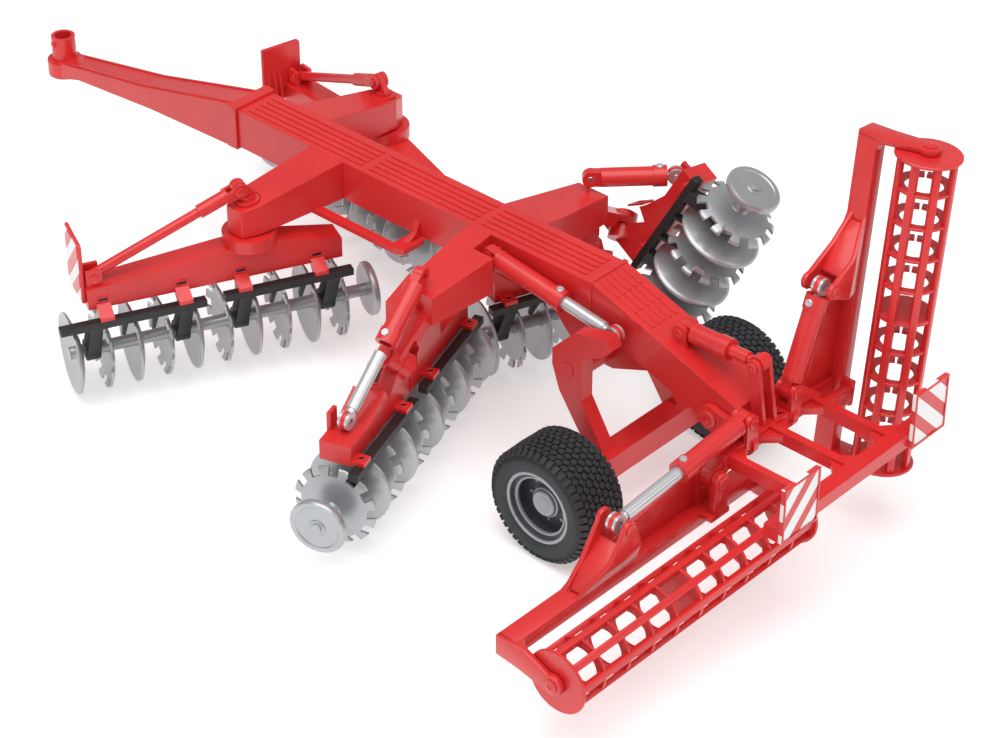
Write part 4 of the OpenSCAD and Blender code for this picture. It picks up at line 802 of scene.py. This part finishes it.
def addPocket(label, side):
    body = "outer_gang_" + label
    place = facing(foldPlace(side), pocket["place"], pocket["along"], pocket["out"])
    rim = softEdges(cutFrame(*pocket["frame"]), pocket["frameSoft"])
    finishPiece(rim, "foldPocket." + label, "redGloss", body, place)
    # a black plate painted as the shade of the pocket's hollow, with the black carrier seen through it
    paintedHollow = softEdges(cutPlate(slab(*pocket["floor"]), pocket["hollowShadeT"]), pocket["hollowShadeSoft"], 1)
    finishPiece(paintedHollow, "pocketShade." + label, "blackCarrier", body, place)


def addGussets(label, side):
    webs = [softEdges(cutPlate(inMetres(corner), gusset["thick"]), gusset["soft"])
            for corner in gusset["corners"]]
    finishPiece(joinPieces(webs), "ladderGussets." + label, "redGloss", "roller_frame",
                sidePlace(side) @ Matrix.Translation((0, 0, gusset["low"])))


for label, side in sides.items():
    addRail(label, side)
    addPocket(label, side)
    addGussets(label, side)
hook = softEdges(cutPlate(catch["outline"], catch["wide"]), catch["soft"])
finishPiece(hook, "hitchCatch", "redGloss", "frame",
            facing(levelPlace, catch["place"], (0, 1, 0), (1, 0, 0)))
print("small fittings made")

# cage rollers: eight bars on thin flat rings, each with one slit, between the end discs
cage = {"axisX": -0.0923, "axisZ": 0.0368, "inner": 0.0065, "outer": 0.1670, "endR": 0.0155, "endT": 0.0016,
        "edge": 0.0004, "endSteps": 72, "ringOut": 0.0136, "ringIn": 0.0089, "ringSteps": 48,
        "ringHalf": 0.0007, "ringSoft": 0.0002, "slitAt": 67.5, "slitHalf": 2.6, "bars": 8, "barIn": 0.0115,
        "barOut": 0.0142, "barHalf": 0.0018, "barSoft": 0.0004, "bays": 10, "midHalf": 0.0009, "pinR": 0.0025,
        "pin": 0.0028, "pinSteps": 32, "smooth": 30, "turn": {"left": 52.8, "right": -8.6}}


def roundBar(radius, low, high, steps):
    return spinPiece([(0, low), (radius, low), (radius, high), (0, high)], steps)


def makeCageEnd(low):
    radius, edge, high = cage["endR"], cage["edge"], low + cage["endT"]
    return spinPiece([(0, low), (radius - edge, low), (radius, low + edge), (radius, high - edge),
                      (radius - edge, high), (0, high)], cage["endSteps"])


def makeCageRing():
    start, end = cage["slitAt"] + cage["slitHalf"], cage["slitAt"] + 360 - cage["slitHalf"]
    outline = (arcPoints((0, 0), cage["ringOut"], start, end, cage["ringSteps"])
               + arcPoints((0, 0), cage["ringIn"], end, start, cage["ringSteps"]))
    return softEdges(cutPlate(outline, 2 * cage["ringHalf"]), cage["ringSoft"], 1)


def makeCageBars(length):
    low, high, half = cage["barIn"], cage["barOut"], cage["barHalf"]
    bar = cutPlate([(low, -half), (high, -half), (high, half), (low, half)], length - cage["endT"])
    return spinCopies(raised(softEdges(bar, cage["barSoft"]), cage["endT"] / 2), cage["bars"])


def makeCage():
    length = cage["outer"] - cage["inner"]
    sunk = cage["endT"] / 2
    parts = [makeCageEnd(low) for low in (0, length - cage["endT"])]
    for number in range(1, cage["bays"]):
        parts.append(raised(makeCageRing(), number * length / cage["bays"] - cage["ringHalf"]))
    parts.append(roundBar(cage["ringOut"], length / 2 - cage["midHalf"], length / 2 + cage["midHalf"],
                          cage["ringSteps"]))
    parts.append(makeCageBars(length))
    for low, high in ((-cage["pin"], sunk), (length - sunk, length + cage["pin"])):
        parts.append(roundBar(cage["pinR"], low, high, cage["pinSteps"]))
    return joinPieces(parts)


for label, side in sides.items():
    place = facing(rollerPlace(side), (cage["axisX"], cage["inner"], cage["axisZ"]), (1, 0, 0), (0, 1, 0))
    place = place @ Matrix.Rotation(math.radians(cage["turn"][label]), 4, "Z")
    piece = finishPiece(makeCage(), "cageRoller." + label, "redGloss", "roller_" + label, place,
                        cage["smooth"])
    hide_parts("roller_" + label)
print("rollers made")

# roller arms: a slim beam with end cheeks, a web, hinge cheeks and a clevis,
# whose rear plate leans onto the beam
arm = {"front": -0.0605, "rear": -0.0710, "low": 0.0395, "top": 0.0470, "inner": 0.0032, "outer": 0.1703,
       "sink": 0.0008, "soft": 0.0005, "roundSteps": 12,
       "cheekT": 0.003, "cheekR": 0.00525, "cheekArc": (60, 290, 14),
       "cheekFoot": [(-0.0735, 0.0352), (-0.0605, 0.0365), (-0.0605, 0.0470), (-0.0760, 0.0470)],
       "fillet": 0.0045, "filletLow": 0.0425, "filletSteps": 6, "filletSink": 0.0005, "webT": 0.004,
       "web": [(0.0345, 0.0465), (0.0345, 0.0634), (0.039, 0.0679), (0.104, 0.0583), (0.130, 0.0465)],
       "hingeX": (-0.0773, -0.0667), "hingeT": 0.004, "hingePin": (0.039, 0.0634), "hingeR": 0.0045,
       "ledge": [(0.033, 0.044), (0.046, 0.044), (0.046, 0.047), (0.033, 0.047)], "ledgeT": 0.0073,
       "plateX": (-0.0783, -0.0641), "plateT": 0.0024, "rodPin": (0.104, 0.074), "plateR": 0.0042,
       "plateFoot": [(0.091, 0.0465), (0.130, 0.0465), (0.1183, 0.0583)],
       "lean": 0.0071, "knee": 0.0620, "foot": 0.0465, "tieX": -0.0765, "tieT": 0.0130,
       "tie": [(0.1060, 0.0655), (0.1075, 0.0665), (0.1190, 0.0570), (0.1270, 0.0480), (0.1250, 0.0470),
               (0.1172, 0.0560)]}


def crossPlate(outline, x, thick):
    return laid(cutPlate(outline, thick), facing(levelPlace, (x, 0, 0), (0, 1, 0), (1, 0, 0)))


def lengthPlate(outline, y, thick):
    return laid(cutPlate(outline, thick), facing(levelPlace, (0, y + thick, 0), (1, 0, 0), (0, -1, 0)))


def leanOnBeam(obj):
    selectOnly(obj)
    bpy.ops.object.mode_set(mode="EDIT")
    bpy.ops.mesh.select_all(action="SELECT")
    bpy.ops.mesh.bisect(plane_co=(0, 0, arm["knee"]), plane_no=(0, 0, 1))
    bpy.ops.object.mode_set(mode="OBJECT")
    middle = (arm["front"] + arm["rear"]) / 2
    for point in obj.data.vertices:
        if point.co.z < arm["knee"] and point.co.x < middle:
            point.co.x += arm["lean"] * (arm["knee"] - point.co.z) / (arm["knee"] - arm["foot"])
    return obj


def makeArmBeam():
    outline = [(arm["rear"], arm["low"]), (arm["front"], arm["low"]), (arm["front"], arm["top"]),
               (arm["rear"], arm["top"])]
    return lengthPlate(outline, arm["inner"] + arm["sink"], arm["outer"] - arm["inner"] - 2 * arm["sink"])


def makeArmFillet():
    size, cheek, sink = arm["fillet"], arm["outer"] - arm["cheekT"], arm["filletSink"]
    corner = (arm["rear"] + sink, cheek + sink)
    hollow = (arm["rear"] - size, cheek - size)
    outline = ([corner, (hollow[0], corner[1])] + arcPoints(hollow, size, 90, 0, arm["filletSteps"])
               + [(corner[0], hollow[1])])
    return raised(cutPlate(outline, arm["top"] - arm["filletLow"]), arm["filletLow"])


def makeRollerArm():
    parts = [makeArmBeam()]
    cheek = arm["cheekFoot"] + arcPoints((cage["axisX"], cage["axisZ"]), arm["cheekR"], *arm["cheekArc"])
    parts += [lengthPlate(cheek, y, arm["cheekT"]) for y in (arm["inner"], arm["outer"] - arm["cheekT"])]
    parts.append(makeArmFillet())
    parts.append(crossPlate(arm["web"], arm["front"] - arm["webT"], arm["webT"]))
    hingeY, hingeR = arm["hingePin"][0], arm["hingeR"]
    hinge = (arcPoints(arm["hingePin"], hingeR, 0, 180, arm["roundSteps"])
             + [(hingeY - hingeR, arm["foot"]), (hingeY + hingeR, arm["foot"])])
    parts += [crossPlate(hinge, x, arm["hingeT"]) for x in arm["hingeX"]]
    parts.append(crossPlate(arm["ledge"], arm["hingeX"][0], arm["ledgeT"]))
    plate = arcPoints(arm["rodPin"], arm["plateR"], 0, 180, arm["roundSteps"]) + arm["plateFoot"]
    parts += [leanOnBeam(crossPlate(plate, x, arm["plateT"])) for x in arm["plateX"]]
    parts.append(leanOnBeam(crossPlate(arm["tie"], arm["tieX"], arm["tieT"])))
    return joinPieces([softEdges(part, arm["soft"]) for part in parts])


for label, side in sides.items():
    place, body = rollerPlace(side), "roller_arm_" + label
    piece = finishPiece(makeRollerArm(), "rollerArm." + label, "redGloss", body, place)
    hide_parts("roller_arm_" + label)
    finishPiece(makePinHead("roller"), "rollerBoss." + label, "redGloss", body,
                aimed(place, (cage["axisX"], arm["outer"], cage["axisZ"]), (0, 1, 0)))
print("roller arms made")

# scrapers: thin fingers that hang from the carrier bars between the discs, and the tips of the front bars
scraper = {"outline": [(0.0142, 0.0225), (0.0098, 0.0225), (0.0042, 0.0090), (0.0064, 0.0080),
                       (0.0142, 0.0195)],
           "thick": 0.0018, "soft": 0.0003, "pitch": 0.0152, "gaps": (1.5, 2.5), "frontAxle": 0.0366,
           "rearAxle": 0.0312, "frontRows": (0.091, 0.015), "outerRow": 0.092, "innerRow": 0.016}
carrierTip = {"outline": [(0.0095, 0.0196), (0.0145, 0.0196), (0.0145, 0.0234), (0.0095, 0.0234)],
              "start": 0.0935, "long": 0.0075, "soft": 0.0004}


def addScrapers(name, body, place, first, axle):
    thick = scraper["thick"]
    fingers = [crossPlate(scraper["outline"], first - gap * scraper["pitch"] - thick / 2, thick)
               for gap in scraper["gaps"]]
    row = joinPieces([softEdges(finger, scraper["soft"]) for finger in fingers])
    finishPiece(row, name, "blackCarrier", body, place @ Matrix.Translation((0, 0, axle)))


for label, side in sides.items():
    front, body = frontPlace(side), "front_gang_" + label
    for number, first in enumerate(scraper["frontRows"]):
        addScrapers("scrapers.front" + str(number) + "." + label, body, front, first, scraper["frontAxle"])
    tip = crossPlate(carrierTip["outline"], carrierTip["start"], carrierTip["long"])
    finishPiece(softEdges(tip, carrierTip["soft"]), "carrierTip." + label, "blackCarrier", body,
                front @ Matrix.Translation((0, 0, scraper["frontAxle"])))
    addScrapers("scrapers.outer." + label, "outer_gang_" + label, foldPlace(side), scraper["outerRow"],
                scraper["rearAxle"])
    addScrapers("scrapers.inner." + label, "frame", gangPlace(side), scraper["innerRow"], scraper["rearAxle"])
print("scrapers made")

# hub nuts: a hexagon on a washer, on the face of each small end disc
hubNut = {"front": (-0.061, 0, 0.0366), "outer": (0.1072, 0, 0.0312), "low": 0.0014, "cornerR": 0.0027,
          "sides": 6, "tall": 0.0017, "soft": 0.0003, "washerSteps": 40,
          "washer": [(0, 0.0014), (0.0041, 0.0014), (0.0041, 0.0018), (0.0038, 0.0021), (0, 0.0021)]}


def makeHubNut():
    nut = softEdges(cutPlate(evenCorners(hubNut["cornerR"], hubNut["sides"]), hubNut["tall"]), hubNut["soft"])
    return joinPieces([raised(nut, hubNut["low"]), spinPiece(hubNut["washer"], hubNut["washerSteps"])])


for label, side in sides.items():
    finishPiece(makeHubNut(), "hubNut.front." + label, "silverDisc", "front_discs_" + label,
                aimed(frontPlace(side), hubNut["front"], (-1, 0, 0)))
    finishPiece(makeHubNut(), "hubNut.outer." + label, "silverDisc", "outer_discs_" + label,
                aimed(foldPlace(side), hubNut["outer"], (1, 0, 0)))
print("hub nuts made")
